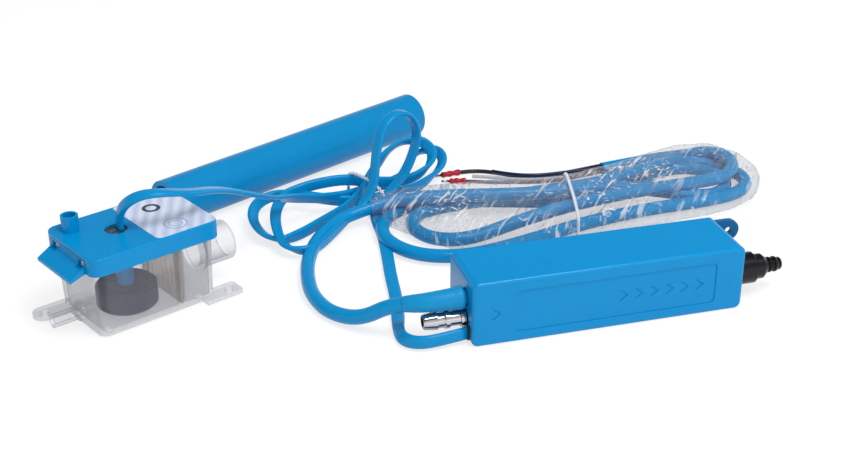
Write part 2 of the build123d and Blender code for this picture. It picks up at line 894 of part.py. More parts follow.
# ================================================================ electrics
board_front = plate_front - standoff_height - board_thickness
with BuildPart() as control_board:
    with BuildSketch(Plane.XZ.offset(-(plate_front - standoff_height))):
        with Locations((board_left + board_length / 2, board_low + board_height / 2)):
            Rectangle(board_length, board_height)
            with GridLocations(board_length - 8, board_height - 7, 2, 2):
                Circle(board_pin + fit_clearance, mode=Mode.SUBTRACT)
    extrude(amount=board_thickness)
save(control_board, "control_board")

component_low = line_z + yoke_half + 0.9
component_high = board_low + board_height
component_mid = (component_low + component_high) / 2
component_tall = component_high - component_low
with BuildPart() as board_components:
    # relay
    with BuildSketch(Plane.XZ.offset(-board_front)):
        with Locations((board_left + 29, component_mid)):
            Rectangle(15, component_tall)
    extrude(amount=9)
    # capacitors
    with BuildSketch(Plane.XZ.offset(-board_front)):
        with Locations((board_left + 44, component_mid), (board_left + 51, component_mid)):
            Circle(component_tall / 2)
    extrude(amount=8)
    # sensor lead connector
    with BuildSketch(Plane.XZ.offset(-board_front)):
        with Locations((board_left + board_length - 15, component_mid)):
            Rectangle(9, component_tall)
    extrude(amount=6)
    # controller chip and two small power parts low on the board
    with BuildSketch(Plane.XZ.offset(-board_front)):
        with Locations((board_left + 22, board_low + 9), (board_left + 40, board_low + 9)):
            Rectangle(7, 5)
        with Locations((board_left + board_length - 22, board_low + 8)):
            Rectangle(5, 7)
    extrude(amount=1.2)
save(board_components, "board_components")

with BuildPart() as terminal_block:
    with BuildSketch(Plane.XZ.offset(-board_front)):
        with Locations((board_left + 12.5, component_mid)):
            Rectangle(14, component_tall)
    extrude(amount=8)
    with BuildSketch(Plane.XZ.offset(-(board_front - 8))):
        with Locations((board_left + 12.5, component_mid)):
            with GridLocations(4.4, 1, 3, 1):
                Rectangle(3.0, 2.8)
    extrude(amount=-5, mode=Mode.SUBTRACT)
save(terminal_block, "terminal_block")

# ================================================================ cable entries
# Moulded boot of the mains cable: flange inside, neck in the wall, tapered sleeve outside.
boot_plane = Plane(origin=(0, barb_y, power_entry_z), x_dir=(1, 0, 0), z_dir=(0, -1, 0))
with BuildPart() as power_cable_boot:
    with BuildSketch(boot_plane):
        with BuildLine():
            Polyline(
                (-half_length - boot_reach, power_cable_diameter / 2),
                (-half_length - boot_reach, boot_tip),
                (-half_length - fit_clearance, boot_radius + 0.35),
                (-half_length - fit_clearance, boot_neck),
                (-inner_end + fit_clearance, boot_neck),
                (-inner_end + fit_clearance, boot_flange),
                (-inner_end + fit_clearance + boot_flange_thickness, boot_flange),
                (-inner_end + fit_clearance + boot_flange_thickness, power_cable_diameter / 2),
                close=True,
            )
        make_face()
    revolve(axis=Axis((0, barb_y, power_entry_z), (1, 0, 0)))
save(power_cable_boot, "power_cable_boot")

# Rubber grommet of the sensor lead: a neck through the wall with a lip outside.
with BuildPart() as sensor_cable_grommet:
    for start, depth, grow in (
        (-half_length - grommet_lip - fit_clearance, grommet_lip, 0.5),
        (-half_length - fit_clearance, cover_wall, -fit_clearance),
    ):
        with BuildSketch(Plane.YZ.offset(start)):
            with Locations((sensor_entry_y, sensor_entry_z)):
                SlotOverall(sensor_slot_height + 2 * grow, sensor_slot_width + 2 * grow, rotation=90)
        extrude(amount=depth)
save(sensor_cable_grommet, "sensor_cable_grommet")

# ================================================================ tank unit
# Clear tank: drafted tub with feet, two pipe spigots, fixing lugs, catches for the lid's
# latch and guides for the filter.
with BuildPart() as tank:
    with BuildSketch(Plane.XY.offset(tank_bottom)):
        RectangleRounded(tank_length, tank_width, tank_corner)
    extrude(amount=tank_height, taper=-tank_draft)
    # fixing lugs level with the floor
    with BuildSketch(Plane.XY.offset(tank_bottom)):
        with Locations((left_lug_u, left_lug_v)):
            Circle(left_lug_radius)
            Rectangle(
                -left_lug_u - tank_length / 2 + 4.0,
                2 * left_lug_radius,
                align=(Align.MIN, Align.CENTER),
            )
        with Locations((right_lug_reach, right_lug_v)):
            Rectangle(
                right_lug_reach - tank_length / 2 + 7.5,
                right_lug_width,
                align=(Align.MAX, Align.CENTER),
            )
    extrude(amount=lug_thickness)
    fillet(
        tank.edges().filter_by(Axis.Z).sort_by(Axis.X)[-2:],
        1.5,
    )
    # spigots
    with BuildSketch(Plane.YZ.offset(tank_length / 2 - tank_wall / 3)):
        with Locations((0, inlet_spigot_z)):
            Circle(inlet_spigot_radius)
    extrude(amount=inlet_spigot_reach - tank_length / 2 + tank_wall / 3)
    with BuildSketch(Plane.YZ.offset(-outlet_spigot_reach)):
        with Locations((0, outlet_spigot_z)):
            Circle(outlet_spigot_radius)
    extrude(amount=outlet_spigot_reach - tank_length / 2 + tank_wall / 3)
    # root shoulders that stop the hoses
    with BuildSketch(Plane.YZ.offset(tank_length / 2 - tank_wall / 3)):
        with Locations((0, inlet_spigot_z)):
            Circle(inlet_spigot_radius + spigot_root)
    extrude(amount=root_reach - tank_length / 2 + tank_wall / 3)
    with BuildSketch(Plane.YZ.offset(-root_reach)):
        with Locations((0, outlet_spigot_z)):
            Circle(outlet_spigot_radius + spigot_root)
    extrude(amount=root_reach - tank_length / 2 + tank_wall / 3)
    # inside of the tub, the spigots' bores and the lug holes
    with BuildSketch(Plane.XY.offset(floor_top)):
        RectangleRounded(
            tank_length - 2 * tank_wall + 2 * tank_floor * slope,
            tank_width - 2 * tank_wall + 2 * tank_floor * slope,
            tank_corner - tank_wall,
        )
    extrude(amount=tank_height - tank_floor, taper=-tank_draft, mode=Mode.SUBTRACT)
    with BuildSketch(Plane.YZ.offset(tank_length / 2 - 2 * tank_wall)):
        with Locations((0, inlet_spigot_z)):
            Circle(inlet_spigot_bore)
    extrude(amount=inlet_spigot_reach, mode=Mode.SUBTRACT)
    with BuildSketch(Plane.YZ.offset(-outlet_spigot_reach)):
        with Locations((0, outlet_spigot_z)):
            Circle(outlet_spigot_bore)
    extrude(amount=outlet_spigot_reach - tank_length / 2 + 2 * tank_wall, mode=Mode.SUBTRACT)
    with BuildSketch(Plane.XY.offset(tank_bottom)):
        with Locations((left_lug_u, left_lug_v), (right_lug_u, right_lug_v)):
            Circle(lug_hole)
    extrude(amount=lug_thickness, mode=Mode.SUBTRACT)
    # feet
    with BuildSketch(Plane.XY):
        with GridLocations(tank_length - 12, tank_width - 12, 2, 2):
            Circle(foot_radius)
    extrude(amount=foot_height)
    # filter guides on both long walls
    with BuildSketch(Plane.XY.offset(floor_top)):
        for side in (-1, 1):
            for step in (-1, 1):
                with Locations(
                    (
                        filter_u + step * (filter_thickness / 2 + 0.15 + guide_rib / 2),
                        side * (tank_width / 2 + tank_floor * slope - 0.07 - tank_wall / 2 - guide_depth / 2),
                    )
                ):
                    Rectangle(guide_rib, tank_wall + guide_depth)
    extrude(amount=filter_height)
    # wedge catches under the latch's windows
    for side in (-1, 1):
        with BuildSketch(Plane.XZ.offset(-(side * latch_window_v) - latch_window / 2 + catch_clearance)):
            with BuildLine():
                Polyline(
                    (-(tank_length / 2) - 0.6, window_low + catch_clearance),
                    (latch_inner - catch_depth / 2, window_low + catch_clearance),
                    (latch_inner, window_top - 2 * catch_clearance),
                    (-(tank_length / 2) - 0.6, window_top - 2 * catch_clearance),
                    close=True,
                )
            make_face()
        extrude(amount=latch_window - 2 * catch_clearance)
save(tank, "tank", tank_seat)

# Slotted filter plate that drops into the guides.
filter_half = tank_width / 2 - tank_wall + tank_floor * slope - 0.35
with BuildPart() as tank_filter:
    with BuildSketch(Plane.YZ.offset(filter_u - filter_thickness / 2)):
        with BuildLine():
            Polyline(
                (-filter_half, floor_top + fit_clearance),
                (-filter_half - filter_height * slope, floor_top + filter_height),
                (filter_half + filter_height * slope, floor_top + filter_height),
                (filter_half, floor_top + fit_clearance),
                close=True,
            )
        make_face()
        with Locations((0, floor_top + filter_height / 2)):
            with GridLocations(filter_slot_pitch, 1, filter_slot_count, 1):
                SlotOverall(filter_slot_height, filter_slot, rotation=90, mode=Mode.SUBTRACT)
    extrude(amount=filter_thickness)
save(tank_filter, "tank_filter", tank_seat)

# Ring float with its magnet.
float_bottom = floor_top + 0.1
magnet_bottom = float_bottom + float_height - magnet_thickness - 0.6
with BuildPart() as float_ring:
    with BuildSketch(Plane.XY.offset(float_bottom)):
        with Locations((float_u, 0)):
            Circle(float_radius)
    extrude(amount=float_height)
    chamfer(float_ring.edges(), 1.2)
    with BuildSketch(Plane.XY.offset(float_bottom)):
        with Locations((float_u, 0)):
            Circle(float_hole)
    extrude(amount=float_height, mode=Mode.SUBTRACT)
    with BuildSketch(Plane.XY.offset(magnet_bottom)):
        with Locations((float_u, 0)):
            Circle(magnet_outer + fit_clearance)
            Circle(magnet_inner - fit_clearance, mode=Mode.SUBTRACT)
    extrude(amount=float_height, mode=Mode.SUBTRACT)
save(float_ring, "float", tank_seat)

with BuildPart() as float_magnet:
    with BuildSketch(Plane.XY.offset(magnet_bottom)):
        with Locations((float_u, 0)):
            Circle(magnet_outer)
            Circle(magnet_inner, mode=Mode.SUBTRACT)
    extrude(amount=magnet_thickness)
save(float_magnet, "float_magnet", tank_seat)

# Lid: plate and skirt, with the vent spigot, the lead's hole and a window for the latch.
with BuildPart() as tank_lid:
    with BuildSketch(Plane.XY.offset(skirt_bottom)):
        RectangleRounded(lid_length, lid_width, lid_corner)
    extrude(amount=lid_skirt)
    fillet(tank_lid.edges().group_by(Axis.Z)[-1], lid_round)
    with BuildSketch(Plane.XY.offset(skirt_bottom)):
        RectangleRounded(lid_length - 2 * lid_wall, lid_width - 2 * lid_wall, lid_corner - lid_wall)
    extrude(amount=lid_skirt - lid_plate, mode=Mode.SUBTRACT)
    # vent spigot
    with BuildSketch(Plane.XY.offset(lid_top - lid_plate / 2)):
        with Locations((vent_u, vent_v)):
            Circle(vent_radius)
    extrude(amount=vent_height + lid_plate / 2)
    with BuildSketch(Plane.XY.offset(plate_bottom)):
        with Locations((vent_u, vent_v)):
            Circle(vent_bore)
    extrude(amount=vent_height + lid_plate, mode=Mode.SUBTRACT)
    # collar and hole for the sensor lead
    with BuildSketch(Plane.XY.offset(plate_bottom - lead_collar_depth)):
        with Locations((lead_hole_u, lead_hole_v)):
            Circle(lead_hole_radius + lead_collar)
    extrude(amount=lead_collar_depth)
    with BuildSketch(Plane.XY.offset(plate_bottom - lead_collar_depth)):
        with Locations((lead_hole_u, lead_hole_v)):
            Circle(lead_hole_radius)
    extrude(amount=lead_collar_depth + lid_plate, mode=Mode.SUBTRACT)
    # gap in the left end of the skirt
    with BuildSketch(Plane.XY.offset(skirt_bottom)):
        with Locations((lid_end + lid_wall / 2, 0)):
            Rectangle(lid_wall + 0.4, latch_width + 2 * latch_gap)
    extrude(amount=latch_top + latch_gap - skirt_bottom, mode=Mode.SUBTRACT)
save(tank_lid, "tank_lid", tank_seat)

# Sprung latch flap: two windows that hook over the tank's catches and a flared finger lip.
with BuildPart() as lid_latch:
    with BuildSketch(Plane.XZ.offset(-latch_width / 2)):
        with BuildLine():
            Polyline(
                (latch_inner, latch_top),
                (lid_end, latch_top),
                (lid_end, skirt_bottom + 3.5),
                (lid_end - latch_lip_reach, skirt_bottom - latch_lip_drop + 1.4),
                (lid_end - latch_lip_reach, skirt_bottom - latch_lip_drop),
                (lid_end - 0.4, skirt_bottom),
                (latch_inner, skirt_bottom),
                close=True,
            )
        make_face()
    extrude(amount=latch_width)
    with BuildSketch(Plane.XY.offset(window_low)):
        with Locations((lid_end, latch_window_v), (lid_end, -latch_window_v)):
            Rectangle(4 * lid_wall, latch_window)
    extrude(amount=latch_window_height, mode=Mode.SUBTRACT)
save(lid_latch, "lid_latch", tank_seat)

with BuildPart() as lid_seal:
    with BuildSketch(Plane.XY.offset(seal_bottom)):
        RectangleRounded(rim_length - 0.4, rim_width - 0.4, tank_corner)
        RectangleRounded(
            rim_length - 2 * tank_wall - 1.6,
            rim_width - 2 * tank_wall - 1.6,
            tank_corner - tank_wall,
            mode=Mode.SUBTRACT,
        )
    extrude(amount=seal_thickness)
save(lid_seal, "lid_seal", tank_seat)

with BuildPart() as lid_label:
    with BuildSketch(Plane.XY.offset(lid_top)):
        with Locations(((label_left + label_right) / 2, 0.2)):
            RectangleRounded(label_right - label_left, label_width, label_corner)
    extrude(amount=label_thickness)
save(lid_label, "lid_label", tank_seat)

with BuildPart() as lid_potting:
    with BuildSketch(Plane.XY.offset(plate_bottom - lead_collar_depth)):
        with Locations((lead_hole_u, lead_hole_v)):
            Circle(lead_hole_radius - fit_clearance)
    extrude(amount=lead_collar_depth + lid_plate - potting_recess)
save(lid_potting, "lid_potting", tank_seat)

# Level sensor: a closed stem through the float with its strip of circuit board.
stem_top = plate_bottom - lead_collar_depth
stem_bottom = floor_top + stem_floor_gap
with BuildPart() as sensor_stem:
    with BuildSketch(Plane.XY.offset(stem_bottom)):
        with Locations((float_u, 0)):
            Circle(stem_radius)
    extrude(amount=stem_top - stem_bottom)
    with BuildSketch(Plane.XY.offset(stem_bottom + stem_wall)):
        with Locations((float_u, 0)):
            Circle(stem_radius - stem_wall)
    extrude(amount=stem_top - stem_bottom, mode=Mode.SUBTRACT)
save(sensor_stem, "sensor_stem", tank_seat)

with BuildPart() as sensor_board:
    with BuildSketch(Plane.XY.offset(stem_bottom + stem_wall + 0.3)):
        with Locations((float_u, 0)):
            Rectangle(1.0, 2 * (stem_radius - stem_wall) - 1.2)
    extrude(amount=stem_top - stem_bottom - stem_wall - 0.3)
save(sensor_board, "sensor_board", tank_seat)

# ================================================================ cords
power_route = [
    (-half_length, barb_y, power_entry_z),
    (-81, -6.5, 20),
    (-96, 2.8, 16.6),
    (-108, 12, 6),
    (-119, 25, 3.6),
    (-123.5, 43, 3.55),
    (-122, 62, 3.6),
    (-117.5, 81, 3.55),
    (-109, 99, 4),
    (-96, 112, 6.5),
    (-80, 116, 9),
    (-62, 118, 10.5),
]
power_tail_route = [
    (115.9, 143, 3.8),
    (96, 145.4, 3.7),
    (78, 143.6, 3.6),
    (61.5, 141.2, 3.6),
]
lead_u = lead_hole_u + 2.1
lead_x = tank_x + lead_u * cos(radians(tank_yaw)) - lead_hole_v * sin(radians(tank_yaw))
lead_y = tank_y + lead_u * sin(radians(tank_yaw)) + lead_hole_v * cos(radians(tank_yaw))
lid_span_route = [
    (lead_x, lead_y, lid_top - potting_recess + fit_clearance),
    (lead_x, lead_y, 47),
    (-203.4, 59.5, 53.6),
    (-197, 56.6, 58.4),
    (-188, 55.5, 59.2),
    (-173, 62, 54.3),
    (-164, 71, 50.5),
    (-159.5, 76.5, 47.5),
]
drop_route = [
    (-159.5, 76.5, 47.5),
    (-155, 82, 44.5),
    (-145, 95, 37),
    (-134.5, 109, 28),
    (-123.5, 123, 19.5),
    (-112, 134, 13.8),
]
pump_run_route = [
    (-77.3, 130.3, 4.6),
    (-73.5, 117, 2.9),
    (-75.5, 98, 2.8),
    (-79, 76, 2.9),
    (-83, 54, 2.8),
    (-86, 33, 2.9),
    (-90, 15, 2.8),
    (-93.5, 1, 3),
    (-93, -7, 3.2),
    (-88, -12.5, 3.8),
    (-79, sensor_entry_y - 1.7, 4.4),
    (-half_length - grommet_lip - 0.45, sensor_entry_y, sensor_entry_z),
]
wire_black_route = [
    (60.8, 142.7, 4.8),
    (50.5, 146.6, 1.9),
    (38.4, 146.3, wire_lie),
    (27.1, 145.1, 1.15),
    (17, 147.6, wire_lie),
    (9.1, 154, 1.15),
    (0.5, 160.6, 1.2),
    (-8.3, 163.3, 1.4),
    (-15.6, 162.6, crimp_radius),
]
wire_brown_route = [
    (60.8, 139.7, 2.6),
    (48.5, 139.9, 1.3),
    (35.9, 138.4, wire_lie),
    (23.4, 139.1, 1.15),
    (8.6, 143.2, wire_lie),
    (-4.8, 147.3, 1.2),
    (-15.8, 150.7, crimp_radius),
]
wire_grey_route = [
    (60.8, 142.6, 2.5),
    (46.3, 143, 1.3),
    (28, 142.2, wire_lie),
    (12.1, 145.9, 1.15),
    (0.2, 152.8, 1.2),
    (-9.3, 156.5, 1.3),
]
wire_blue_route = [
    (60.8, 139.9, 4.9),
    (43.2, 142.3, 3.6),
    (24.5, 142.6, 3.4),
    (9.9, 148.1, 3.5),
    (1.9, 155.4, 3.4),
]
cords = {
    "power_cable": (power_route, power_cable_diameter),
    "power_cable_tail": (power_tail_route, power_cable_diameter),
    "sensor_cable_lid_span": (lid_span_route, sensor_cable_diameter),
    "sensor_cable_drop": (drop_route, sensor_cable_diameter),
    "sensor_cable_pump_run": (pump_run_route, sensor_cable_diameter),
    "wire_black": (wire_black_route, wire_diameter),
    "wire_brown": (wire_brown_route, wire_diameter),
    "wire_grey": (wire_grey_route, wire_diameter),
    "wire_blue": (wire_blue_route, wire_diameter),
}
for cord_name, (route, diameter) in cords.items():
    radii = corner_radii(route)
    with BuildPart() as cord:
        with BuildLine() as path:
            FilletPolyline(*route, radius=radii)
        with BuildSketch(path.line ^ 0):
            Circle(diameter / 2)
        sweep()
    length = path.wire().length
    section = 3.14159265 * diameter**2 / 4
    print(
        cord_name,
        "length", round(length, 1),
        "radii", [round(r, 1) for r in radii],
        "volume ratio", round(cord.part.volume / (section * length), 4),
        "low", round(cord.part.bounding_box().min.Z, 2),
    )
    save(cord, cord_name)

# Ferrules on the mains wires.
with BuildPart() as crimp_sleeves:
    for start, end in (
        ((-15.75, 162.58, crimp_radius), (-25.3, 161.6, crimp_radius)),
        ((-15.95, 150.74, crimp_radius), (-23.4, 152.7, crimp_radius)),
    ):
        along = Vector(*end) - Vector(*start)
        with BuildSketch(Plane(origin=start, z_dir=along)):
            Circle(crimp_radius)
        extrude(amount=along.length)
save(crimp_sleeves, "crimp_sleeves")

with BuildPart() as crimp_pins:
    for start, end in (
        ((-25.32, 161.6, crimp_radius), (-29.6, 161.15, crimp_radius)),
        ((-23.42, 152.7, crimp_radius), (-28.0, 153.9, crimp_radius)),
    ):
        along = Vector(*end) - Vector(*start)
        with BuildSketch(Plane(origin=start, z_dir=along)):
            Circle(crimp_pin)
        extrude(amount=along.length)
save(crimp_pins, "crimp_pins")

# Coil of mains cable: an oblong hank with its open middle.
hank_bottom = bag_film + bag_clearance
with BuildPart() as power_cable_hank:
    with BuildSketch(Plane.XY.offset(hank_bottom)):
        with BuildLine():
            CenterArc(hank_left, hank_left_radius, 0, 360)
            CenterArc(hank_right, hank_right_radius, 0, 360)
        make_hull()
    extrude(amount=hank_height)
    chamfer(power_cable_hank.faces().filter_by(Axis.Z).edges(), 4.0)
    with BuildSketch(Plane.XY.offset(hank_bottom)):
        with BuildLine():
            CenterArc(hank_hole_left, hank_hole_radius, 0, 360)
            CenterArc(hank_hole_right, hank_hole_radius, 0, 360)
        make_hull()
    extrude(amount=hank_height, mode=Mode.SUBTRACT)
    # the coil's end rides over the sensor lead
    with BuildSketch(Plane.XY):
        with Locations((hank_left[0] - hank_left_radius + 13, hank_left[1])):
            Rectangle(40, 90, align=(Align.MAX, Align.CENTER))
    extrude(amount=sensor_cable_diameter + 0.9, mode=Mode.SUBTRACT)
save(power_cable_hank, "power_cable_hank")

# Film sleeve round the coil, open at its left end.
bag_top = hank_bottom + hank_height + bag_clearance + bag_film
with BuildPart() as cable_bag:
    with BuildSketch(Plane.XY):
        with BuildLine():
            CenterArc(hank_left, hank_left_radius + bag_clearance + bag_film, 0, 360)
            CenterArc(hank_right, hank_right_radius + bag_clearance + bag_film, 0, 360)
        make_hull()
    extrude(amount=bag_top)
    with BuildSketch(Plane.XY.offset(bag_film)):
        with BuildLine():
            CenterArc(hank_left, hank_left_radius + bag_clearance, 0, 360)
            CenterArc(hank_right, hank_right_radius + bag_clearance, 0, 360)
        make_hull()
    extrude(amount=bag_top - 2 * bag_film, mode=Mode.SUBTRACT)
    with BuildSketch(Plane.XY):
        with Locations((bag_mouth_x, hank_left[1])):
            Rectangle(
                3 * hank_left_radius, 3 * hank_left_radius, align=(Align.MAX, Align.CENTER)
            )
    extrude(amount=bag_top, mode=Mode.SUBTRACT)
save(cable_bag, "cable_bag")

# Wire tie across the bagged coil.
with BuildPart() as bag_tie:
    with BuildSketch(Plane.XY.offset(bag_top + fit_clearance)):
        with Locations((24.0, 94.0)):
            Rectangle(tie_width, 46.0, rotation=-14)
    extrude(amount=tie_thickness)
save(bag_tie, "bag_tie")

# Coil of sensor lead, tied at the waist, with one loop standing up.
with BuildPart() as sensor_cable_hank:
    with BuildSketch(Plane.XY.offset(sensor_hank_bottom)):
        with BuildLine():
            CenterArc((-114, 127), 17, 0, 360)
            CenterArc((-80, 141), 9.5, 0, 360)
        make_hull()
    extrude(amount=sensor_hank_height)
    with BuildSketch(Plane.XY.offset(sensor_hank_bottom)):
        with BuildLine():
            CenterArc((-80, 141), 9.5, 0, 360)
            CenterArc((-48, 164), 16, 0, 360)
        make_hull()
    extrude(amount=sensor_hank_height)
save(sensor_cable_hank, "sensor_cable_hank")

loop_yaw = 28.0
loop_thickness = 8.0
loop_plane = Plane(
    origin=(-60.5, 134.0, loop_bottom),
    x_dir=(cos(radians(loop_yaw)), sin(radians(loop_yaw)), 0),
    z_dir=(sin(radians(loop_yaw)), -cos(radians(loop_yaw)), 0),
)
with BuildPart() as sensor_cable_loop:
    with BuildSketch(loop_plane.offset(-loop_thickness / 2)):
        with Locations((0, loop_rise)):
            Circle(loop_radius)
            Rectangle(2 * loop_radius, loop_rise, align=(Align.CENTER, Align.MAX))
            Circle(loop_hole, mode=Mode.SUBTRACT)
    extrude(amount=loop_thickness)
    add(sensor_cable_hank.part, mode=Mode.SUBTRACT)
save(sensor_cable_loop, "sensor_cable_loop")

with BuildPart() as hank_tie:
    with BuildSketch(Plane.XY.offset(sensor_hank_bottom + sensor_hank_height + fit_clearance)):
        with Locations((-78, 142)):
            Rectangle(tie_width, 19.0, rotation=-60)
    extrude(amount=tie_thickness)
save(hank_tie, "hank_tie")

# ================================================================ drain tube
drain_plane = Plane(
    origin=(drain_x, drain_y, drain_radius),
    x_dir=(-sin(radians(drain_yaw)), cos(radians(drain_yaw)), 0),
    z_dir=(cos(radians(drain_yaw)), sin(radians(drain_yaw)), 0),
)
with BuildPart() as drain_tube:
    with BuildSketch(drain_plane):
        Circle(drain_radius)
        Circle(drain_bore, mode=Mode.SUBTRACT)
    extrude(amount=drain_length)
save(drain_tube, "drain_tube")
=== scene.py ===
"""Slim condensate pump with its float-switch tank, coiled cables and drain tube."""
from math import cos, pi, radians, sin

import bmesh
import bpy
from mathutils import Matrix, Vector, noise


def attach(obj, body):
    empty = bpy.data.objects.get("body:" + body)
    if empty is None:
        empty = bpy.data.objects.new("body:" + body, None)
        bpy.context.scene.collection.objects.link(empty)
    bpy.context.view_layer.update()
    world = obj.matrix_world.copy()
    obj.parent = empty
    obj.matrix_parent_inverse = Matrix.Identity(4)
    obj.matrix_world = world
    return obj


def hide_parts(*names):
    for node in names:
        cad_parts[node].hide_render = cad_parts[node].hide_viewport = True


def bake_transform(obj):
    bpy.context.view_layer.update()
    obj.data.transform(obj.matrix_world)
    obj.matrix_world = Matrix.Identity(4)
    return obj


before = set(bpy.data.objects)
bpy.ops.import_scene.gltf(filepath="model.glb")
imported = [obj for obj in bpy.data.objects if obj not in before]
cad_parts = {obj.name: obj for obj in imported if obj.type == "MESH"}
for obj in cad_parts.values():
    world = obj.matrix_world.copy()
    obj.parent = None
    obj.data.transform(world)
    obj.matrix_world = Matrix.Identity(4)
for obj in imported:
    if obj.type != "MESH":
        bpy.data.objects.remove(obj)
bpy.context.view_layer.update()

# ---------------------------------------------------------------- camera
# A long lens on a tripod, in front of the pump and to its left, looking down
# on the whole set.
LOOKS_DOWN, TURNS_RIGHT = 26.1, 16.18  # degrees
camera = bpy.data.cameras.new("studio_camera")
camera.lens = 59.6
camera.sensor_width = 36.0
camera.sensor_fit = "HORIZONTAL"
tripod = bpy.data.objects.new("studio_camera", camera)
tripod.location = (-0.23225, -0.52136, 0.3209)
tripod.rotation_euler = (radians(90 - LOOKS_DOWN), 0, radians(-TURNS_RIGHT))
bpy.context.collection.objects.link(tripod)
bpy.context.scene.camera = tripod


# ---------------------------------------------------------------- studio
# White table that runs out of view, a white room, one soft lamp overhead in
# front and a wide one low down that lights the front faces.
def colour(code):
    """An sRGB hex colour as Blender's linear colour."""
    parts = [int(code[i : i + 2], 16) / 255 for i in (1, 3, 5)]
    return [c / 12.92 if c < 0.04045 else ((c + 0.055) / 1.055) ** 2.4 for c in parts] + [1]


def add(tree, kind, inputs=(), **settings):
    """Adds one shader node; inputs are sockets to link from or values to set."""
    made = tree.nodes.new("ShaderNode" + kind)
    for name, value in settings.items():
        setattr(made, name, value)
    for name, value in dict(inputs).items():
        if isinstance(value, bpy.types.NodeSocket):
            tree.links.new(value, made.inputs[name])
        else:
            made.inputs[name].default_value = value
    return made


def seen_directly(tree):
    """1 for camera, mirror and see-through rays, 0 for the light that falls on things."""
    rays = add(tree, "LightPath").outputs
    some = rays["Is Camera Ray"]
    for kind in ("Is Glossy Ray", "Is Transmission Ray"):
        some = add(tree, "Math", {0: some, 1: rays[kind]}, operation="MAXIMUM").outputs[0]
    return some


TABLE_OWN_LIGHT = 0.74
table_paint = bpy.data.materials.new("white_studio_table")
table_paint.use_nodes = True
tree = table_paint.node_tree
seen = seen_directly(tree)
shade = add(tree, "Mix", {0: seen, 6: colour("#E6E6E6"), 7: colour("#949494")}, data_type="RGBA")
glow = add(tree, "Math", {0: seen, 1: TABLE_OWN_LIGHT}, operation="MULTIPLY")
surface = tree.nodes["Principled BSDF"]
tree.links.new(shade.outputs[2], surface.inputs["Base Color"])
tree.links.new(glow.outputs[0], surface.inputs["Emission Strength"])
surface.inputs["Emission Color"].default_value = (1, 1, 1, 1)
surface.inputs["Roughness"].default_value = 1.0
surface.inputs["Specular IOR Level"].default_value = 0.0

bpy.ops.mesh.primitive_plane_add(size=12, location=(0, 0, 0))
table = bpy.context.object
table.name = "studio_table"
table.data.materials.append(table_paint)

# gloss shows white walls and a dimmer ceiling; seen straight on, the room is white
ROOM_FILL = 0.62
WALL_TOP, CEILING_FROM, CEILING_LIGHT = 0.08, 0.4, 0.1
room = bpy.data.worlds.new("white_room")
room.use_nodes = True
tree = room.node_tree
rays = add(tree, "LightPath").outputs
height = add(tree, "SeparateXYZ", {0: add(tree, "TexCoord").outputs["Generated"]}).outputs["Z"]
walls = add(
    tree,
    "MapRange",
    {0: height, 1: WALL_TOP, 2: CEILING_FROM, 3: 1 - ROOM_FILL, 4: CEILING_LIGHT - ROOM_FILL},
)
straight = add(
    tree, "Math", {0: rays["Is Camera Ray"], 1: rays["Is Transmission Ray"]}, operation="MAXIMUM"
)
level = add(
    tree, "Math", {0: straight.outputs[0], 1: 1 - ROOM_FILL, 2: ROOM_FILL}, operation="MULTIPLY_ADD"
)
level = add(
    tree,
    "Math",
    {0: rays["Is Glossy Ray"], 1: walls.outputs[0], 2: level.outputs[0]},
    operation="MULTIPLY_ADD",
)
tree.links.new(level.outputs[0], tree.nodes["Background"].inputs["Strength"])
tree.nodes["Background"].inputs["Color"].default_value = (1, 1, 1, 1)
bpy.context.scene.world = room
bpy.context.scene.view_settings.view_transform = "Standard"


def lamp(name, place, aim, size, power):
    light = bpy.data.lights.new(name, "AREA")
    light.size = size
    light.energy = power
    stand = bpy.data.objects.new(name, light)
    stand.location = place
    stand.rotation_euler = (Vector(aim) - Vector(place)).to_track_quat("-Z", "Y").to_euler()
    bpy.context.collection.objects.link(stand)


lamp("key_softbox", place=(0.2, -0.4, 1.1), aim=(-0.03, 0.08, 0), size=0.5, power=7.6)
lamp("fill_softbox", place=(0.25, -1.2, 0.55), aim=(0, 0.05, 0), size=1.1, power=2.6)


# ---------------------------------------------------------------- pump case
# Cover and back plate of the pump, injection-moulded in blue ABS and screwed
# together from behind. The tank's lid, latch and stem are the same plastic.
MM = 0.001
CASE_BLUE = "#0090D0"


def finish(name, base, roughness, **sockets):
    """A material with one Principled shader; sockets are its uniform settings."""
    made = bpy.data.materials.new(name)
    made.use_nodes = True
    shader = made.node_tree.nodes["Principled BSDF"]
    shader.inputs["Base Color"].default_value = colour(base)
    shader.inputs["Roughness"].default_value = roughness
    for socket, value in sockets.items():
        shader.inputs[socket.replace("_", " ")].default_value = value
    return made


def tint(material, base, other, size_mm, stretch=(1, 1, 1)):
    """Cloudy change between two close colours, its patches size_mm across."""
    tree = material.node_tree
    where = add(tree, "TexCoord").outputs["Object"]
    scale = [s / (size_mm * MM) for s in stretch]
    place = add(tree, "Mapping", {"Vector": where, "Scale": scale})
    cloud = add(tree, "TexNoise", {"Vector": place.outputs[0], "Scale": 1.0, "Detail": 2.0})
    shades = {0: cloud.outputs[0], 6: colour(base), 7: colour(other)}
    mix = add(tree, "Mix", shades, data_type="RGBA")
    tree.links.new(mix.outputs[2], tree.nodes["Principled BSDF"].inputs["Base Color"])


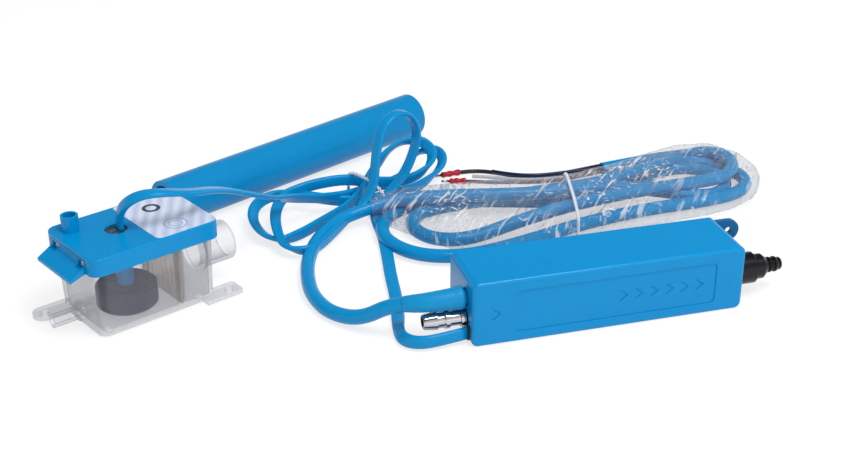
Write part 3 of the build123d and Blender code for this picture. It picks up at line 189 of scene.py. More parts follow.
def texture_height(material, size_mm, depth_mm, stretch=(1, 1, 1)):
    """Fine relief of the surface, its bumps size_mm across and depth_mm high."""
    tree = material.node_tree
    where = add(tree, "TexCoord").outputs["Object"]
    scale = [s / (size_mm * MM) for s in stretch]
    place = add(tree, "Mapping", {"Vector": where, "Scale": scale})
    grain = add(tree, "TexNoise", {"Vector": place.outputs[0], "Scale": 1.0, "Detail": 3.0})
    bump = add(
        tree, "Bump", {"Height": grain.outputs[0], "Distance": depth_mm * MM, "Strength": 1.0}
    )
    tree.links.new(bump.outputs[0], tree.nodes["Principled BSDF"].inputs["Normal"])


def paint(material, *nodes):
    """Gives a CAD part its real finish."""
    for node in nodes:
        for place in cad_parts[node].material_slots:
            place.material = material


# Moulded ABS: even gloss with a very fine spark texture. Its IOR is set below the
# plastic's own 1.53, so that the white room doesn't wash the blue out.
abs_blue = finish("moulded_abs_blue", CASE_BLUE, 0.2, IOR=1.35, Specular_IOR_Level=0.4)
tint(abs_blue, CASE_BLUE, "#008AC9", 30.0)
texture_height(abs_blue, 0.7, 0.008)
paint(abs_blue, "pump_cover", "tank_lid", "lid_latch", "sensor_stem")
# The same ABS in a darker, matter back plate.
abs_dark = finish("moulded_abs_blue_back", "#006CA6", 0.4, Specular_IOR_Level=0.3)
tint(abs_dark, "#006CA6", "#00619A", 20.0)
texture_height(abs_dark, 0.7, 0.015)
paint(abs_dark, "back_plate")


# ---------------------------------------------------------------- pump line
# What carries the water: a turned and nickel-plated brass inlet barb, moulded
# black nylon chambers and outlet fitting, and rubber seals and bumpers.

# Polished nickel: mirror gloss, and a painted reflection: its colour turns light
# and dark in bands round a curve.
nickel = finish("nickel_plated_brass", "#C9C6C8", 0.12, Metallic=1.0)
tree = nickel.node_tree
# painted reflection: light and dark bands by how squarely the surface faces the view
facing = add(tree, "LayerWeight", {"Blend": 0.5}).outputs["Facing"]
bands = add(tree, "ValToRGB", {"Fac": facing})
ramp = bands.color_ramp
ramp.elements[0].color = colour("#BDB8BB")
ramp.elements[1].color = colour("#55505A")
for place, shade in ((0.3, "#D9D5D7"), (0.5, "#7C757A"), (0.68, "#B9B4B8"), (0.82, "#5E585E")):
    ramp.elements.new(place).color = colour(shade)
tree.links.new(bands.outputs[0], tree.nodes["Principled BSDF"].inputs["Base Color"])
texture_height(nickel, 0.5, 0.004, stretch=(0.1, 1, 1))
paint(nickel, "inlet_barb")

# Glass-filled nylon: near black, half matt, with a faint fibre grain.
nylon_black = finish("moulded_glass_filled_nylon", "#0C0B11", 0.3, Specular_IOR_Level=0.3)
tint(nylon_black, "#0C0B11", "#16141C", 6.0)
texture_height(nylon_black, 0.5, 0.03)
paint(
    nylon_black,
    "board_components",
    "discharge_fitting",
    "inlet_chamber",
    "outlet_block",
    "thermal_cutout",
)

# Moulded NBR rubber: matt black with a dusty grain.
rubber = finish("moulded_nbr_rubber", "#1B1B1D", 0.62)
tint(rubber, "#1B1B1D", "#2A2A2C", 3.0)
texture_height(rubber, 0.4, 0.03)
paint(
    rubber,
    "chamber_o_ring",
    "delivery_valve",
    "lid_seal",
    "mount_rings",
    "outlet_o_ring",
    "piston_bumper",
    "sensor_cable_grommet",
)

# Natural nylon: cream white and slightly waxy.
nylon_white = finish("moulded_nylon_natural", "#E4E2D8", 0.45)
tint(nylon_white, "#E4E2D8", "#D6D3C5", 8.0)
texture_height(nylon_white, 0.6, 0.02)
paint(nylon_white, "coil_bobbin", "inlet_strainer", "terminal_block")


# ---------------------------------------------------------------- pump drive
# A turned piston and wound springs inside a turned tube, with a copper coil on a
# bobbin round it, a zinc-plated steel yoke, and the control board behind them.

# Turned stainless steel: soft metal sheen, its tool marks running round.
steel = finish("turned_stainless_steel", "#B4B5B8", 0.28, Metallic=1.0)
tint(steel, "#B4B5B8", "#9EA0A4", 6.0, stretch=(6, 1, 1))
texture_height(steel, 0.5, 0.006, stretch=(4, 1, 1))
paint(
    steel,
    "ball_retainer",
    "delivery_spring",
    "housing_screws",
    "piston",
    "piston_spring",
    "plunger_tube",
    "spring_seat",
    "suction_ball",
)
# Zinc plating on steel: greyer, with small cloudy crystals.
zinc = finish("zinc_plated_steel", "#A9AEB6", 0.38, Metallic=1.0)
tint(zinc, "#A9AEB6", "#8B9099", 4.0)
texture_height(zinc, 0.8, 0.01)
paint(zinc, "solenoid_yoke")
# Enamelled copper: warm metal. Its turns are drawn about 5 mm apart, far coarser
# than the wire, so that they show.
TURN_PITCH = 1.6 * pi  # mm
WAVE_PERIOD = 2 * pi / 20  # from crest to crest of the wave texture, at a scale of 1
copper = finish("enamelled_copper_wire", "#A4502A", 0.3, Metallic=1.0)
tree = copper.node_tree
where = add(tree, "TexCoord").outputs["Object"]
turns = add(tree, "TexWave", {"Vector": where, "Scale": WAVE_PERIOD / (TURN_PITCH * MM)})
bump = add(tree, "Bump", {"Height": turns.outputs[1], "Distance": 0.15 * MM})
tree.links.new(bump.outputs[0], tree.nodes["Principled BSDF"].inputs["Normal"])
tint(copper, "#A4502A", "#8C3F1F", 5.0)
paint(copper, "coil_winding")
# Solder-masked glass epoxy: green satin, a little cloudy over the woven glass.
glass_epoxy = finish("glass_epoxy_board", "#1F5B3A", 0.35)
tint(glass_epoxy, "#1F5B3A", "#2A6E47", 1.6)
texture_height(glass_epoxy, 0.5, 0.02)
paint(glass_epoxy, "control_board", "sensor_board")


# ---------------------------------------------------------------- float tank
# One clear polycarbonate moulding with its spigots and lugs, 2 mm walls. A slate
# float ring rides on the lid's stem, and an amber slotted filter stands in guides.

# Clear polycarbonate: gloss, with grey flow streaks, and greyer where one looks
# along a wall. The wall is drawn part see-through and doesn't bend the light.
FLOW_WIDTH, FLOW_LENGTH = 5 * MM, 60 * MM
clear = finish("moulded_clear_polycarbonate", "#A8AAB8", 0.06, IOR=1.58, Specular_IOR_Level=0.6)
tree = clear.node_tree
edge = add(tree, "LayerWeight", {"Blend": 0.35}).outputs["Facing"]
haze = add(tree, "MapRange", {0: edge, 1: 0.1, 2: 0.95, 3: 0.09, 4: 0.75})
where = add(tree, "TexCoord").outputs["Object"]
scale = (1 / FLOW_WIDTH, 1 / FLOW_WIDTH, 1 / FLOW_LENGTH)
streaks = add(tree, "Mapping", {"Vector": where, "Scale": scale})
flow = add(tree, "TexNoise", {"Vector": streaks.outputs[0], "Scale": 1.0, "Detail": 2.0})
wall = add(
    tree, "Mix", {0: flow.outputs[0], 6: colour("#8F92A2"), 7: colour("#C3C5D0")}, data_type="RGBA"
)
surface = tree.nodes["Principled BSDF"]
tree.links.new(wall.outputs[2], surface.inputs["Base Color"])
tree.links.new(haze.outputs[0], surface.inputs["Alpha"])
texture_height(clear, 6.0, 0.05)
paint(clear, "tank")

# Foamed polypropylene: dark slate, matt, with closed pores.
float_foam = finish("moulded_foamed_polypropylene", "#272733", 0.5, Specular_IOR_Level=0.2)
tint(float_foam, "#272733", "#31313F", 3.5)
texture_height(float_foam, 0.5, 0.05)
paint(float_foam, "float")
# Sintered ferrite: dull charcoal with a fine fired grain.
ferrite = finish("sintered_ferrite_magnet", "#3B3A3D", 0.6)
tint(ferrite, "#3B3A3D", "#4B4A4C", 1.2)
texture_height(ferrite, 0.3, 0.02)
paint(ferrite, "float_magnet")
# Amber polypropylene: thin, tan and partly see-through.
amber = finish("moulded_amber_polypropylene", "#DCC0A0", 0.3, Alpha=0.45)
tint(amber, "#DCC0A0", "#CFAE88", 6.0)
texture_height(amber, 0.8, 0.03)
paint(amber, "tank_filter")
# Poured epoxy that seals the lead into the lid: near black, wet gloss, lumpy.
epoxy = finish("poured_epoxy_potting", "#12303F", 0.06, Specular_IOR_Level=0.8)
tint(epoxy, "#12303F", "#3B5866", 2.2)
texture_height(epoxy, 2.4, 0.9)
paint(epoxy, "lid_potting")


# ---------------------------------------------------------------- lid label
# Printed polypropylene film, cut to size and stuck on the lid. Its print has soft
# slanting bands, one dark ring and one light double ring, and no words.
TANK_TURN = 24.28  # degrees
LABEL_SHIFT = (155.67, -141.67, 0)  # mm, the room's middle along and across the tank
BAND_SLANT, BAND_SCALE = 35, 0.06  # degrees; 0.06 puts the bands 5.2 mm apart
LABEL_RINGS = (
    # centre along and across the tank, radius, half width, ink
    ((14.7, 8.8, 0), 3.4, 0.9, "#3C4356"),
    ((15.0, -12.2, 0), 5.2, 0.35, "#9DA9C2"),
    ((15.0, -12.2, 0), 2.9, 0.3, "#A9B4CB"),
)
# Satin film: pale blue with a slight sheen, its print laid out in millimetres.
label = finish("printed_label_film", "#CCD8EE", 0.3, Specular_IOR_Level=0.4)
tree = label.node_tree
where = add(tree, "TexCoord").outputs["Object"]
on_lid = add(
    tree,
    "Mapping",
    {
        "Vector": where,
        "Location": LABEL_SHIFT,
        "Rotation": (0, 0, radians(-TANK_TURN)),
        "Scale": [1 / MM] * 3,
    },
    vector_type="POINT",
)
across = add(
    tree,
    "Mapping",
    {
        "Vector": on_lid.outputs[0],
        "Rotation": (0, 0, radians(BAND_SLANT)),
        "Scale": [BAND_SCALE] * 3,
    },
)
soft = add(
    tree, "TexWave", {"Vector": across.outputs[0], "Scale": 1.0, "Distortion": 1.5, "Detail": 1.0}
)
bands = add(
    tree, "Mix", {0: soft.outputs[1], 6: colour("#BECCE6"), 7: colour("#DDE5F4")}, data_type="RGBA"
)
painted = bands.outputs[2]
for centre, radius, half_width, ink in LABEL_RINGS:
    off = add(tree, "VectorMath", {0: on_lid.outputs[0], 1: centre}, operation="SUBTRACT")
    flat = add(tree, "VectorMath", {0: off.outputs[0], 1: (1, 1, 0)}, operation="MULTIPLY")
    reach = add(tree, "VectorMath", {0: flat.outputs[0]}, operation="LENGTH").outputs["Value"]
    inside = add(tree, "Math", {0: reach, 1: radius, 2: half_width}, operation="COMPARE")
    inked = add(tree, "Mix", {0: inside.outputs[0], 6: painted, 7: colour(ink)}, data_type="RGBA")
    painted = inked.outputs[2]
tree.links.new(painted, tree.nodes["Principled BSDF"].inputs["Base Color"])
texture_height(label, 1.5, 0.01)
paint(label, "lid_label")


# ---------------------------------------------------------------- drain tube
# Loose length of rigid 25 mm PVC tube, extruded and cut square. It fits the
# tank's large spigot.
TUBE_TURN = 28.68  # degrees
LINE_WIDTH, LINE_LENGTH = 3 * MM, 400 * MM
# Extruded PVC: satin blue with shallow die lines along it, drawn 3 mm wide so
# that they show. Its IOR is low for the same reason as the case's.
tube_pvc = finish("extruded_rigid_pvc_blue", "#008FCC", 0.34, IOR=1.35, Specular_IOR_Level=0.35)
tint(tube_pvc, "#008FCC", "#0084C0", 14.0)
tree = tube_pvc.node_tree
where = add(tree, "TexCoord").outputs["Object"]
straight = add(tree, "Mapping", {"Vector": where, "Rotation": (0, 0, radians(-TUBE_TURN))})
scale = (1 / LINE_LENGTH, 1 / LINE_WIDTH, 1 / LINE_WIDTH)
lines = add(tree, "Mapping", {"Vector": straight.outputs[0], "Scale": scale})
drawn = add(tree, "TexNoise", {"Vector": lines.outputs[0], "Scale": 1.0, "Detail": 1.0})
bump = add(tree, "Bump", {"Height": drawn.outputs[0], "Distance": 0.08 * MM, "Strength": 1.0})
tree.links.new(bump.outputs[0], tree.nodes["Principled BSDF"].inputs["Normal"])
paint(tube_pvc, "drain_tube")


# ---------------------------------------------------------------- mains cable
# Round PVC-sheathed cable, 7 mm, extruded blue. It leaves the pump's end cap,
# loops over the table and is wound flat, with its cut end behind the bundle.
CABLE_BLUE = "#0093D2"
MAINS_DIAMETER, MAINS_LENGTH = 7.0, 1.38  # mm, m


def route_line(name, route, radius=0.0, resolution=8, sides=4):
    """A NURBS curve through the room of these points, in millimetres."""
    data = bpy.data.curves.new(name, "CURVE")
    data.dimensions = "3D"
    data.resolution_u = resolution
    spline = data.splines.new("NURBS")
    spline.points.add(len(route) - 1)
    for point, place in zip(spline.points, route):
        point.co = [c * MM for c in place] + [1]
    spline.order_u = 3
    spline.use_endpoint_u = True
    data.bevel_depth = radius * MM
    data.bevel_resolution = sides
    data.use_fill_caps = radius > 0
    made = bpy.data.objects.new(name, data)
    bpy.context.collection.objects.link(made)
    return made


# Extruded soft PVC: even colour, low sheen and faint drawing marks. Its IOR is
# low for the same reason as the case's.
pvc_blue = finish("extruded_pvc_blue", CABLE_BLUE, 0.26, IOR=1.35, Specular_IOR_Level=0.4)
tint(pvc_blue, CABLE_BLUE, "#0088C4", 9.0)
texture_height(pvc_blue, 0.9, 0.02)

MAINS_ROUTE = [
    # out of the boot and round on the table
    (-65, -6, 20.5), (-81, -6.5, 20), (-96, 2.8, 16.6), (-108, 12, 6), (-119, 25, 3.6),
    (-123.5, 43, 3.55), (-122, 62, 3.6), (-117.5, 81, 3.55), (-109, 99, 4), (-96, 112, 6.5),
    (-80, 116, 9), (-62, 118, 11.7),
    # over the bundle and round its right end
    (-38, 114, 12.1), (-8, 107, 12), (24, 101.5, 12), (52, 101, 11.8), (74, 97, 8.2),
    (99, 90, 4.3), (113.5, 95, 4.3), (120, 109, 4.3), (114.5, 123, 4.3), (102, 129.5, 4.3),
    (88, 127, 4.3), (62, 112, 4.2), (26, 105, 4.2), (-10, 117, 4.2),
    # round the left end, the outer turn
    (-45, 126.5, 4.3), (-68.7, 116.7, 4.3), (-78.5, 93, 4.3), (-68.7, 69.3, 4.3), (-45, 59.5, 4.3),
    (-12, 66.5, 4.2), (24, 78.5, 4.2), (62, 85, 4.2),
    # the outer right turn
    (100, 85.5, 4.3), (123.5, 91.5, 4.3), (132.4, 109, 4.3), (122.9, 128.9, 4.3), (101, 134.5, 6.5),
    (78, 118, 11.6), (46, 107, 11.7), (20, 106.5, 11.7), (-8, 111, 8.5),
    # the inner left turn
    (-37, 117.8, 4.3), (-54, 113.5, 4.3), (-61, 98, 4.3), (-54, 82, 4.3), (-36, 77, 4.3),
    (-8, 83, 8), (24, 87.5, 11.4), (60, 93, 11.6),
    # the last right turn, off the bundle and back along it to the cut end
    (92, 94, 11.4), (113, 96.5, 11.4), (124, 107, 11.6), (126.5, 120, 12.2), (121, 133, 10.5),
    (112, 142.5, 5), (99, 146, 3.6), (78, 143.6, 3.6), (61.5, 141.2, 3.6),
]
mains = route_line("mains_cable", MAINS_ROUTE, MAINS_DIAMETER / 2, sides=5)
mains.data.materials.append(pvc_blue)
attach(mains, "root")
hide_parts("power_cable", "power_cable_hank", "power_cable_tail")


# ---------------------------------------------------------------- cord boot
# Soft PVC strain relief, moulded over the cable where it leaves the end cap.
# A collar holds it in the wall and it tapers down to the sheath.
BOOT_FROM, BOOT_LENGTH, BOOT_SLICES = 1.5, 26.0, 30  # mm, mm, count
# share of the length, radius in mm
BOOT_PROFILE = [(0.0, 5.3), (0.08, 5.3), (0.13, 4.95), (0.5, 4.5), (0.85, 4.0), (1.0, 3.62)]


def spline_points(route, resolution=8):
    """The points of the smooth line that a route makes."""
    line = route_line("spline_guide", route, 0, resolution)
    mesh = bpy.data.meshes.new_from_object(line)
    points = [v.co.copy() for v in mesh.vertices]
    data = line.data
    bpy.data.objects.remove(line)
    bpy.data.curves.remove(data)
    bpy.data.meshes.remove(mesh)
    return points


def along_line(points, distance):
    """The place and direction at this distance along a line of points."""
    for near, far in zip(points, points[1:]):
        step = (far - near).length
        if distance <= step:
            return near.lerp(far, distance / step), (far - near).normalized()
        distance -= step
    return points[-1], (points[-1] - points[-2]).normalized()


def ring(centre, along, radius, sides=24):
    """A circle of points square to a direction."""
    across = along.orthogonal().normalized()
    up = along.cross(across)
    turns = [2 * pi * k / sides for k in range(sides)]
    return [centre + (across * cos(t) + up * sin(t)) * radius * MM for t in turns]


def between(table, place):
    """Straight-line reading of a table of (place, values)."""
    for near, far in zip(table, table[1:]):
        if place <= far[0]:
            share = max(0.0, (place - near[0]) / (far[0] - near[0]))
            return [a + (b - a) * share for a, b in zip(near[1:], far[1:])]
    return list(table[-1][1:])


def skin(name, tubes, material, closed_ends=True):
    """A smooth mesh over tubes, each one a list of rings of points."""
    mesh = bmesh.new()
    for rings in tubes:
        loops = [[mesh.verts.new(p) for p in points] for points in rings]
        for near, far in zip(loops, loops[1:]):
            for i in range(len(near)):
                j = (i + 1) % len(near)
                mesh.faces.new((near[i], near[j], far[j], far[i]))
        if closed_ends:
            mesh.faces.new(list(reversed(loops[0])))
            mesh.faces.new(loops[-1])
    bmesh.ops.recalc_face_normals(mesh, faces=mesh.faces)
    data = bpy.data.meshes.new(name)
    mesh.to_mesh(data)
    mesh.free()
    for face in data.polygons:
        face.use_smooth = True
    data.materials.append(material)
    made = bpy.data.objects.new(name, data)
    bpy.context.collection.objects.link(made)
    return made


# Soft moulded PVC: the cable's blue, matter than the sheath.
pvc_boot = finish("moulded_soft_pvc_blue", "#0094D0", 0.42, Specular_IOR_Level=0.25)
tint(pvc_boot, "#0094D0", "#0088C0", 5.0)
texture_height(pvc_boot, 0.6, 0.03)
mains_line = spline_points(MAINS_ROUTE)
boot_rings = []
for step in range(BOOT_SLICES + 1):
    share = step / BOOT_SLICES
    middle, along = along_line(mains_line, (BOOT_FROM + BOOT_LENGTH * share) * MM)
    boot_rings.append(ring(middle, along, between(BOOT_PROFILE, share)[0]))
boot = skin("cord_boot", [boot_rings], pvc_boot)
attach(boot, "root")
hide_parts("power_cable_boot")


# ---------------------------------------------------------------- mains cores
# Four PVC-insulated copper cores come out of the stripped sheath and lie on the
# table. Black and brown are crimped into red terminals with tinned pins.
# name: CAD node, slot, radius in mm, length in m, its two close colours, route
CORES = {
    "core_black": ("wire_black", "black_wire", 1.15, 0.0823, ("#17151C", "#26232B"), [
        (60.8, 142.7, 4.8), (50.5, 146.6, 1.9), (38.4, 146.3, 1.2), (27.1, 145.1, 1.2),
        (17, 147.6, 1.2), (9.1, 154, 1.2), (0.5, 160.6, 1.2), (-8.3, 163.3, 1.4),
        (-15.6, 162.6, 1.6),
    ]),
    "core_brown": ("wire_brown", "brown_wire", 1.0, 0.0784, ("#6E3B46", "#5C2F39"), [
        (60.8, 139.7, 2.6), (48.5, 139.9, 1.3), (35.9, 138.4, 1.1), (23.4, 139.1, 1.15),
        (8.6, 143.2, 1.1), (-4.8, 147.3, 1.2), (-15.8, 150.7, 1.6),
    ]),
    "core_grey": ("wire_grey", "grey_wire", 1.0, 0.0729, ("#C9CDD8", "#B2B7C6"), [
        (60.8, 142.6, 2.5), (46.3, 143, 1.3), (28, 142.2, 1.1), (12.1, 145.9, 1.15),
        (0.2, 152.8, 1.2), (-9.3, 156.5, 1.3),
    ]),
    "core_blue": ("wire_blue", "blue_wire", 1.0, 0.0627, ("#16244F", "#111C40"), [
        (60.8, 139.9, 4.9), (43.2, 142.3, 3.6), (24.5, 142.6, 3.4), (9.9, 148.1, 3.5),
        (1.9, 155.4, 3.4),
    ]),
}
# name: where the sleeve starts, where it ends, the pin's tip
CRIMPS = {
    "core_black": ((-14.6, 162.66, 1.75), (-25.3, 161.6, 1.75), (-29.6, 161.15, 1.6)),
    "core_brown": ((-14.8, 150.5, 1.75), (-23.4, 152.7, 1.75), (-28.0, 153.9, 1.6)),
}
# share of the length, radius in mm: bell mouth, two pressed waists, straight nose
SLEEVE = [
    (0.0, 1.45), (0.04, 1.75), (0.22, 1.72), (0.3, 1.35), (0.42, 1.35), (0.5, 1.7),
    (0.62, 1.7), (0.7, 1.4), (0.8, 1.4), (0.88, 1.6), (1.0, 1.5),
]
PIN = [(0.0, 0.7), (0.8, 0.72), (0.93, 0.6), (1.0, 0.3)]
# Vinyl sleeve: glossy red, a little uneven where the pliers pressed it.
crimp_red = finish("vinyl_crimp_sleeve_red", "#C41230", 0.3, Specular_IOR_Level=0.4)
tint(crimp_red, "#C41230", "#A60E2A", 2.5)
texture_height(crimp_red, 0.8, 0.03)
# Tinned copper: bright grey metal with a slightly rough dip coat.
tin = finish("tinned_copper_pin", "#C8C9CF", 0.25, Metallic=1.0)
tint(tin, "#C8C9CF", "#9A9BA3", 1.5)
texture_height(tin, 0.4, 0.01)


def turned(name, profile, start, end, material, sides):
    """A round piece between two points, from its profile of radii."""
    axis = (end - start).normalized()
    rings = [ring(start.lerp(end, share), axis, radius, sides) for share, radius in profile]
    return skin(name, [rings], material)


for name, (node, slot, radius, length, shades, route) in CORES.items():
    # Extruded PVC insulation: smooth and satin.
    insulation = finish(name + "_pvc", shades[0], 0.35, Specular_IOR_Level=0.35)
    tint(insulation, *shades, 4.0)
    texture_height(insulation, 0.5, 0.015)
    core = route_line(name, route, radius)
    core.data.materials.append(insulation)
    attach(core, "root")
    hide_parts(node)
    if name in CRIMPS:
        start, end, tip = (Vector(p) * MM for p in CRIMPS[name])
        sleeve = turned(name + "_crimp", SLEEVE, start, end, crimp_red, 20)
        pin = turned(name + "_pin", PIN, end, tip, tin, 16)
        for piece, its_slot, its_node in (
            (sleeve, "red_plastic", "crimp_sleeves"),
            (pin, "tin", "crimp_pins"),
        ):
            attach(piece, "root")
            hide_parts(its_node)


# ---------------------------------------------------------------- cable bag
# Thin clear polyethylene bag slid over the wound mains cable from the right and
# tied. It is creased all over, and its mouth is gathered round the cable.
BAG_STATIONS = [
    # x, front y, back y, lowest z, highest z
    (-78, 108.5, 123.5, 3.5, 14.2), (-68, 100, 125.5, 1.2, 15.6), (-58, 84, 127.5, 0.7, 16.2),
    (-46, 68, 128.5, 0.6, 16.2), (-30, 60.5, 127.5, 0.6, 16.2), (0, 60.5, 124.5, 0.6, 16.3),
    (24, 66.5, 118.0, 0.6, 16.4), (45, 67, 123.5, 0.6, 16.3), (60, 67, 127, 0.6, 16.2),
    (85, 68.5, 137, 0.6, 15.8), (105, 72, 142, 0.6, 16.2), (122, 80, 139, 0.7, 16.4),
    (132, 92, 126, 1.2, 14.6), (136.2, 103, 114, 3.4, 11.2),
]
BAG_LENGTH, BAG_SLICES, BAG_SIDES = 214.2, 150, 72  # mm, count, count
SIDE_POWER, TOP_POWER = 0.62, 0.5  # below 1, a round turns square
TOP_CREASE, SIDE_CREASE = 0.9, 0.8  # mm deep


def bag_outline(x, turn, slack=(0, 0)):
    """Where the film is, drawn over the strands: turn 0 is behind, 90 above."""
    front, back, low, high = between(BAG_STATIONS, x)
    side, lift = cos(turn), sin(turn)
    half_width, half_height = (back - front) / 2 + slack[0], (high - low) / 2 + slack[1]
    y = (front + back) / 2 + half_width * abs(side) ** SIDE_POWER * (1 if side > 0 else -1)
    z = (low + high) / 2 + half_height * abs(lift) ** TOP_POWER * (1 if lift > 0 else -1)
    return y, z


def bag_ring(x):
    points = []
    for k in range(BAG_SIDES):
        turn = 2 * pi * k / BAG_SIDES
        y, z = bag_outline(x, turn)
        # creases run slantwise over the bag
        slant = Vector((x * 0.045 + y * 0.11, y * 0.05 - x * 0.06, z * 0.08))
        crease = noise.noise(slant) + 0.5 * noise.noise(slant * 2.7)
        if sin(turn) > 0:
            z -= TOP_CREASE * abs(crease)
        y -= SIDE_CREASE * crease * cos(turn)
        points.append(Vector((x, y, z)) * MM)
    return points


CREASE_WIDTH, CREASE_LENGTH, CREASE_RISE = 2.4 * MM, 26 * MM, 14 * MM
CRUMPLE, PATCH = 4.2 * MM, 38 * MM
CREASE_SLANT = -52  # degrees
# Blown LDPE film: clear and glossy, grey edge-on, with painted glints: white and
# more opaque streaks along each crease. Long creases and small crumples lie in patches.
film = finish("blown_polyethylene_film", "#FFFFFF", 0.08, Specular_IOR_Level=0.6)
tree = film.node_tree
where = add(tree, "TexCoord").outputs["Object"]
slanted = add(tree, "Mapping", {"Vector": where, "Rotation": (0, 0, radians(CREASE_SLANT))})
scale = (1 / CREASE_LENGTH, 1 / CREASE_WIDTH, 1 / CREASE_RISE)
long_place = add(tree, "Mapping", {"Vector": slanted.outputs[0], "Scale": scale})
short_place = add(tree, "Mapping", {"Vector": where, "Scale": [1 / CRUMPLE] * 3})
patch_place = add(tree, "Mapping", {"Vector": where, "Scale": [1 / PATCH] * 3})
long_noise = add(
    tree,
    "TexNoise",
    {"Vector": long_place.outputs[0], "Scale": 1.0, "Detail": 3.0, "Distortion": 0.6},
).outputs[0]
short_noise = add(
    tree,
    "TexNoise",
    {"Vector": short_place.outputs[0], "Scale": 1.0, "Detail": 4.0, "Distortion": 1.2},
).outputs[0]
patch = add(
    tree, "TexNoise", {"Vector": patch_place.outputs[0], "Scale": 1.0, "Detail": 1.0}
).outputs[0]
relief = add(tree, "Math", {0: long_noise, 1: short_noise}, operation="ADD")
bump = add(tree, "Bump", {"Height": relief.outputs[0], "Distance": 1.6 * MM, "Strength": 1.0})
# painted glints: white, more opaque streaks on the crease ridges and crumples
crease_glints = add(tree, "MapRange", {0: long_noise, 1: 0.53, 2: 0.64, 3: 0.0, 4: 1.0})
crumple_glints = add(tree, "MapRange", {0: short_noise, 1: 0.56, 2: 0.66, 3: 0.0, 4: 1.0})
some = add(tree, "MapRange", {0: patch, 1: 0.36, 2: 0.6, 3: 0.35, 4: 1.0})
white = add(tree, "Math", {0: crease_glints.outputs[0], 1: crumple_glints.outputs[0]}, operation="MAXIMUM")
white = add(tree, "Math", {0: white.outputs[0], 1: some.outputs[0]}, operation="MULTIPLY")
rim = add(tree, "LayerWeight", {"Blend": 0.22}).outputs["Facing"]
rim = add(tree, "MapRange", {0: rim, 1: 0.2, 2: 0.9, 3: 0.15, 4: 0.68})
cover = add(tree, "Math", {0: white.outputs[0], 1: 0.72}, operation="MULTIPLY")
cover = add(tree, "Math", {0: cover.outputs[0], 1: rim.outputs[0]}, operation="MAXIMUM")
# painted glints: white where the glint mask is, grey film elsewhere
shade = add(
    tree, "Mix", {0: white.outputs[0], 6: colour("#8E97A8"), 7: colour("#FFFFFF")}, data_type="RGBA"
)
surface = tree.nodes["Principled BSDF"]
tree.links.new(bump.outputs[0], surface.inputs["Normal"])
tree.links.new(shade.outputs[2], surface.inputs["Base Color"])
tree.links.new(cover.outputs[0], surface.inputs["Alpha"])

bag_start = BAG_STATIONS[0][0]
bag_rings = [bag_ring(bag_start + BAG_LENGTH * i / BAG_SLICES) for i in range(BAG_SLICES + 1)]
bag = skin("cable_bag_film", [bag_rings], film, closed_ends=False)
# the left end stays open as the mouth, and the right end is closed
shell = bmesh.new()
shell.from_mesh(bag.data)
right_rim = [e for e in shell.edges if e.is_boundary and e.verts[0].co.x > 100 * MM]
bmesh.ops.holes_fill(shell, edges=right_rim, sides=0)
shell.to_mesh(bag.data)
shell.free()
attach(bag, "root")
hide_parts("cable_bag")


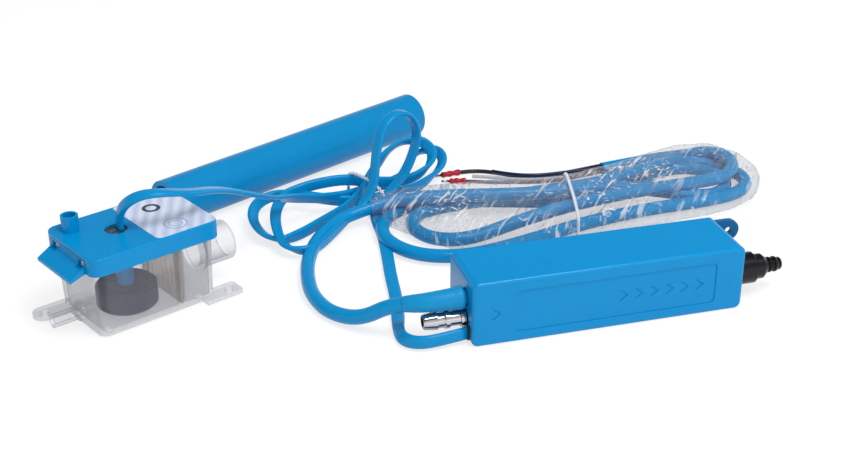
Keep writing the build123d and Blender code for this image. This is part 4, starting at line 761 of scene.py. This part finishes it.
# ---------------------------------------------------------------- sensor lead
# Flat PVC lead, 6.2 by 2.6 mm, potted into the lid and clamped in the pump. It
# is folded into a hank on the table with one loop standing up.
LEAD_WIDTH, LEAD_THICK, LEAD_LENGTH = 6.2, 2.6, 1.02  # mm, mm, m
LEAD_STIFFNESS = 0.75  # how slowly the lead's width turns, from 0 to 1
FLAT, EDGE = (0.75, -0.65, 0.0), (0.0, 0.0, 1.0)
LEFT, RIGHT = (-0.85, 0.0, 0.53), (0.8, -0.1, 0.6)
LEAD_RUNS = [
    # the way the lead's width lies, and its points, from the lid to the pump
    ((0.2, -0.98, 0.0), [
        (-205.89, 62.75, 40.35), (-205.89, 62.75, 47), (-203.4, 59.5, 53.6), (-197, 56.6, 58.4),
    ]),
    ((0.6, -0.8, 0.0), [
        (-188, 55.5, 59.2), (-173, 62, 54.3),
    ]),
    (FLAT, [
        (-164, 71, 50.5), (-155, 82, 44.5), (-145, 91, 37.5), (-135.1, 101.7, 30),
    ]),
    ((0.3, -0.3, 0.9), [
        (-125.2, 114.2, 22), (-112.1, 124.8, 15.5),
    ]),
    (EDGE, [
        (-97.5, 132.6, 10), (-83.2, 136.8, 8), (-70.4, 144.5, 7.5), (-57.1, 148.7, 7),
        (-46.2, 158, 7),
    ]),
    (RIGHT, [
        (-42, 169.5, 9), (-33.5, 176, 12), (-24.5, 171, 13), (-24.5, 159.5, 10.5),
    ]),
    (EDGE, [
        (-34.4, 149.9, 6.5), (-46.2, 142, 5), (-60, 138.1, 5), (-77, 134.1, 5), (-91, 134.5, 7),
        (-102.1, 136.3, 9.5), (-112.1, 142.3, 9.5),
    ]),
    (LEFT, [
        (-123.6, 146.1, 9), (-133.7, 138.4, 8), (-137.5, 123.4, 7), (-134.8, 108.5, 5.5),
        (-127.2, 101.5, 4.4),
    ]),
    (EDGE, [
        (-116.2, 106.1, 4.2), (-102.8, 117.3, 4.2), (-88.3, 127.9, 4.6), (-77, 137, 9),
        (-70.3, 148.4, 12), (-62.5, 158.8, 14),
    ]),
    (RIGHT, [
        (-53.5, 168.5, 18), (-43, 173, 20.5), (-33, 172, 19), (-29, 163, 14.5),
    ]),
    (EDGE, [
        (-37.5, 152.5, 9), (-52.4, 146.5, 7.5), (-70, 142.5, 11.5), (-84.1, 142.5, 15),
        (-98.4, 141.3, 15), (-109.1, 140.4, 13.5),
    ]),
    (LEFT, [
        (-119, 136.7, 12), (-126, 122.8, 10), (-128, 105, 7), (-126, 90.5, 5),
    ]),
    (EDGE, [
        (-114.5, 86.5, 4.2), (-104, 97.5, 4.4), (-93, 110.3, 6),
    ]),
    ((0.47, -0.88, 0.0), [
        (-82, 117.5, 10), (-74.5, 120.9, 18), (-72, 125.2, 30), (-69.6, 129, 41),
        (-64.6, 133.1, 49), (-56.2, 137.5, 52), (-48.5, 140.1, 48), (-45.1, 140.1, 38),
        (-48.3, 138, 27), (-54, 135.7, 17), (-62, 132.2, 10),
    ]),
    ((0.95, 0.2, 0.0), [
        (-72, 126, 5.5), (-75, 114, 3), (-75.5, 98, 2.2), (-79, 76, 2.2), (-83, 54, 2.2),
        (-86, 33, 2.2), (-90, 15, 2.4),
    ]),
    ((0.5, 0.3, 0.7), [
        (-93.5, 1, 3), (-93, -7, 3.6),
    ]),
    (EDGE, [
        (-88, -12.5, 4.3), (-79, -13.2, 4.7), (-66.15, -11.5, 5.3),
    ]),
]


def tangents(points):
    """The direction of a line at each of its points."""
    before = points[:1] + points[:-1]
    after = points[1:] + points[-1:]
    return [(there - here).normalized() for here, there in zip(before, after)]


def flat_lead_section():
    """Outline of the flat lead, half round at both edges."""
    half, r = LEAD_WIDTH / 2, LEAD_THICK / 2
    return [
        (side * (half - r) + r * cos(turn), r * sin(turn))
        for side, start in ((1, -90), (-1, 90))
        for turn in (radians(start + 30 * k) for k in range(7))
    ]


lead_points = spline_points([p for _, run in LEAD_RUNS for p in run])
lead_ways = [Vector(way) for way, run in LEAD_RUNS for _ in run]
lead_rings, last_way = [], None
for i, (point, along) in enumerate(zip(lead_points, tangents(lead_points))):
    place = i / (len(lead_points) - 1) * (len(lead_ways) - 1)
    before = int(min(place, len(lead_ways) - 2))
    way = lead_ways[before].lerp(lead_ways[before + 1], place - before)
    if last_way:
        way = way.lerp(last_way, LEAD_STIFFNESS)
    way = (way - way.project(along)).normalized()
    last_way = way
    up = along.cross(way)
    lead_rings.append([point + (way * a + up * b) * MM for a, b in flat_lead_section()])

lead = skin("sensor_lead", [lead_rings], pvc_blue)
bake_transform(lead)
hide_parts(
    "sensor_cable_lid_span",
    "sensor_cable_drop",
    "sensor_cable_hank",
    "sensor_cable_loop",
    "sensor_cable_pump_run",
)


# ---------------------------------------------------------------- ties
# Thin white nylon twine, two strands twisted together and drawn tight round the
# film bag and round the waist of the flat lead.
TWINE_RADIUS, TWINE_PITCH, TWINE_SIDES = 0.55, 5.0, 8  # mm, mm, count
STRAND_OFFSET = 0.8 * TWINE_RADIUS
# Nylon twine: chalk white with small grey shadows between its fibres.
twine_white = finish("nylon_twine_white", "#EDEFF4", 0.5, Specular_IOR_Level=0.4)
tint(twine_white, "#EDEFF4", "#CDD2DE", 1.4)
texture_height(twine_white, 0.3, 0.02)


def twine(name, route, node):
    """Two strands wound round each other along a line, as one mesh."""
    line = spline_points(route, 12)
    strands = []
    for start in (0, pi):
        rings = []
        travelled = 0.0
        for i, (point, along) in enumerate(zip(line, tangents(line))):
            travelled += (line[i] - line[i - 1]).length if i else 0.0
            turn = start + travelled / (TWINE_PITCH * MM) * 2 * pi
            across = along.orthogonal().normalized()
            off = across * cos(turn) + along.cross(across) * sin(turn)
            rings.append(ring(point + off * STRAND_OFFSET * MM, along, TWINE_RADIUS, TWINE_SIDES))
        strands.append(rings)
    made = skin(name, strands, twine_white)
    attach(made, "root")
    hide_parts(node)


# the bag's tie lies on the film, a little askew, with both ends on the table
TIE_X, TIE_Y, TIE_LEAN, TIE_LOW = 24, 94, 0.25, 1.2
TIE_SLACK = (1.2, 0.9)  # mm off the film's sides and off its top
bag_tie_line = []
for degrees in range(-20, 201, 11):
    y, z = bag_outline(TIE_X, radians(degrees), TIE_SLACK)
    bag_tie_line.append((TIE_X + (y - TIE_Y) * TIE_LEAN, y, max(z, TIE_LOW)))
twine("bag_twine", bag_tie_line, "bag_tie")
LEAD_TIE_LINE = [
    (-81.5, 145.8, 1.2), (-82, 146.3, 9), (-82, 144.8, 16.5), (-80.5, 141, 19.2), (-77, 135, 19),
    (-73.5, 129, 18), (-70, 124, 15.5), (-68.5, 120, 12), (-68.5, 118, 6), (-72, 119.5, 1.2),
]
twine("lead_twine", LEAD_TIE_LINE, "hank_tie")
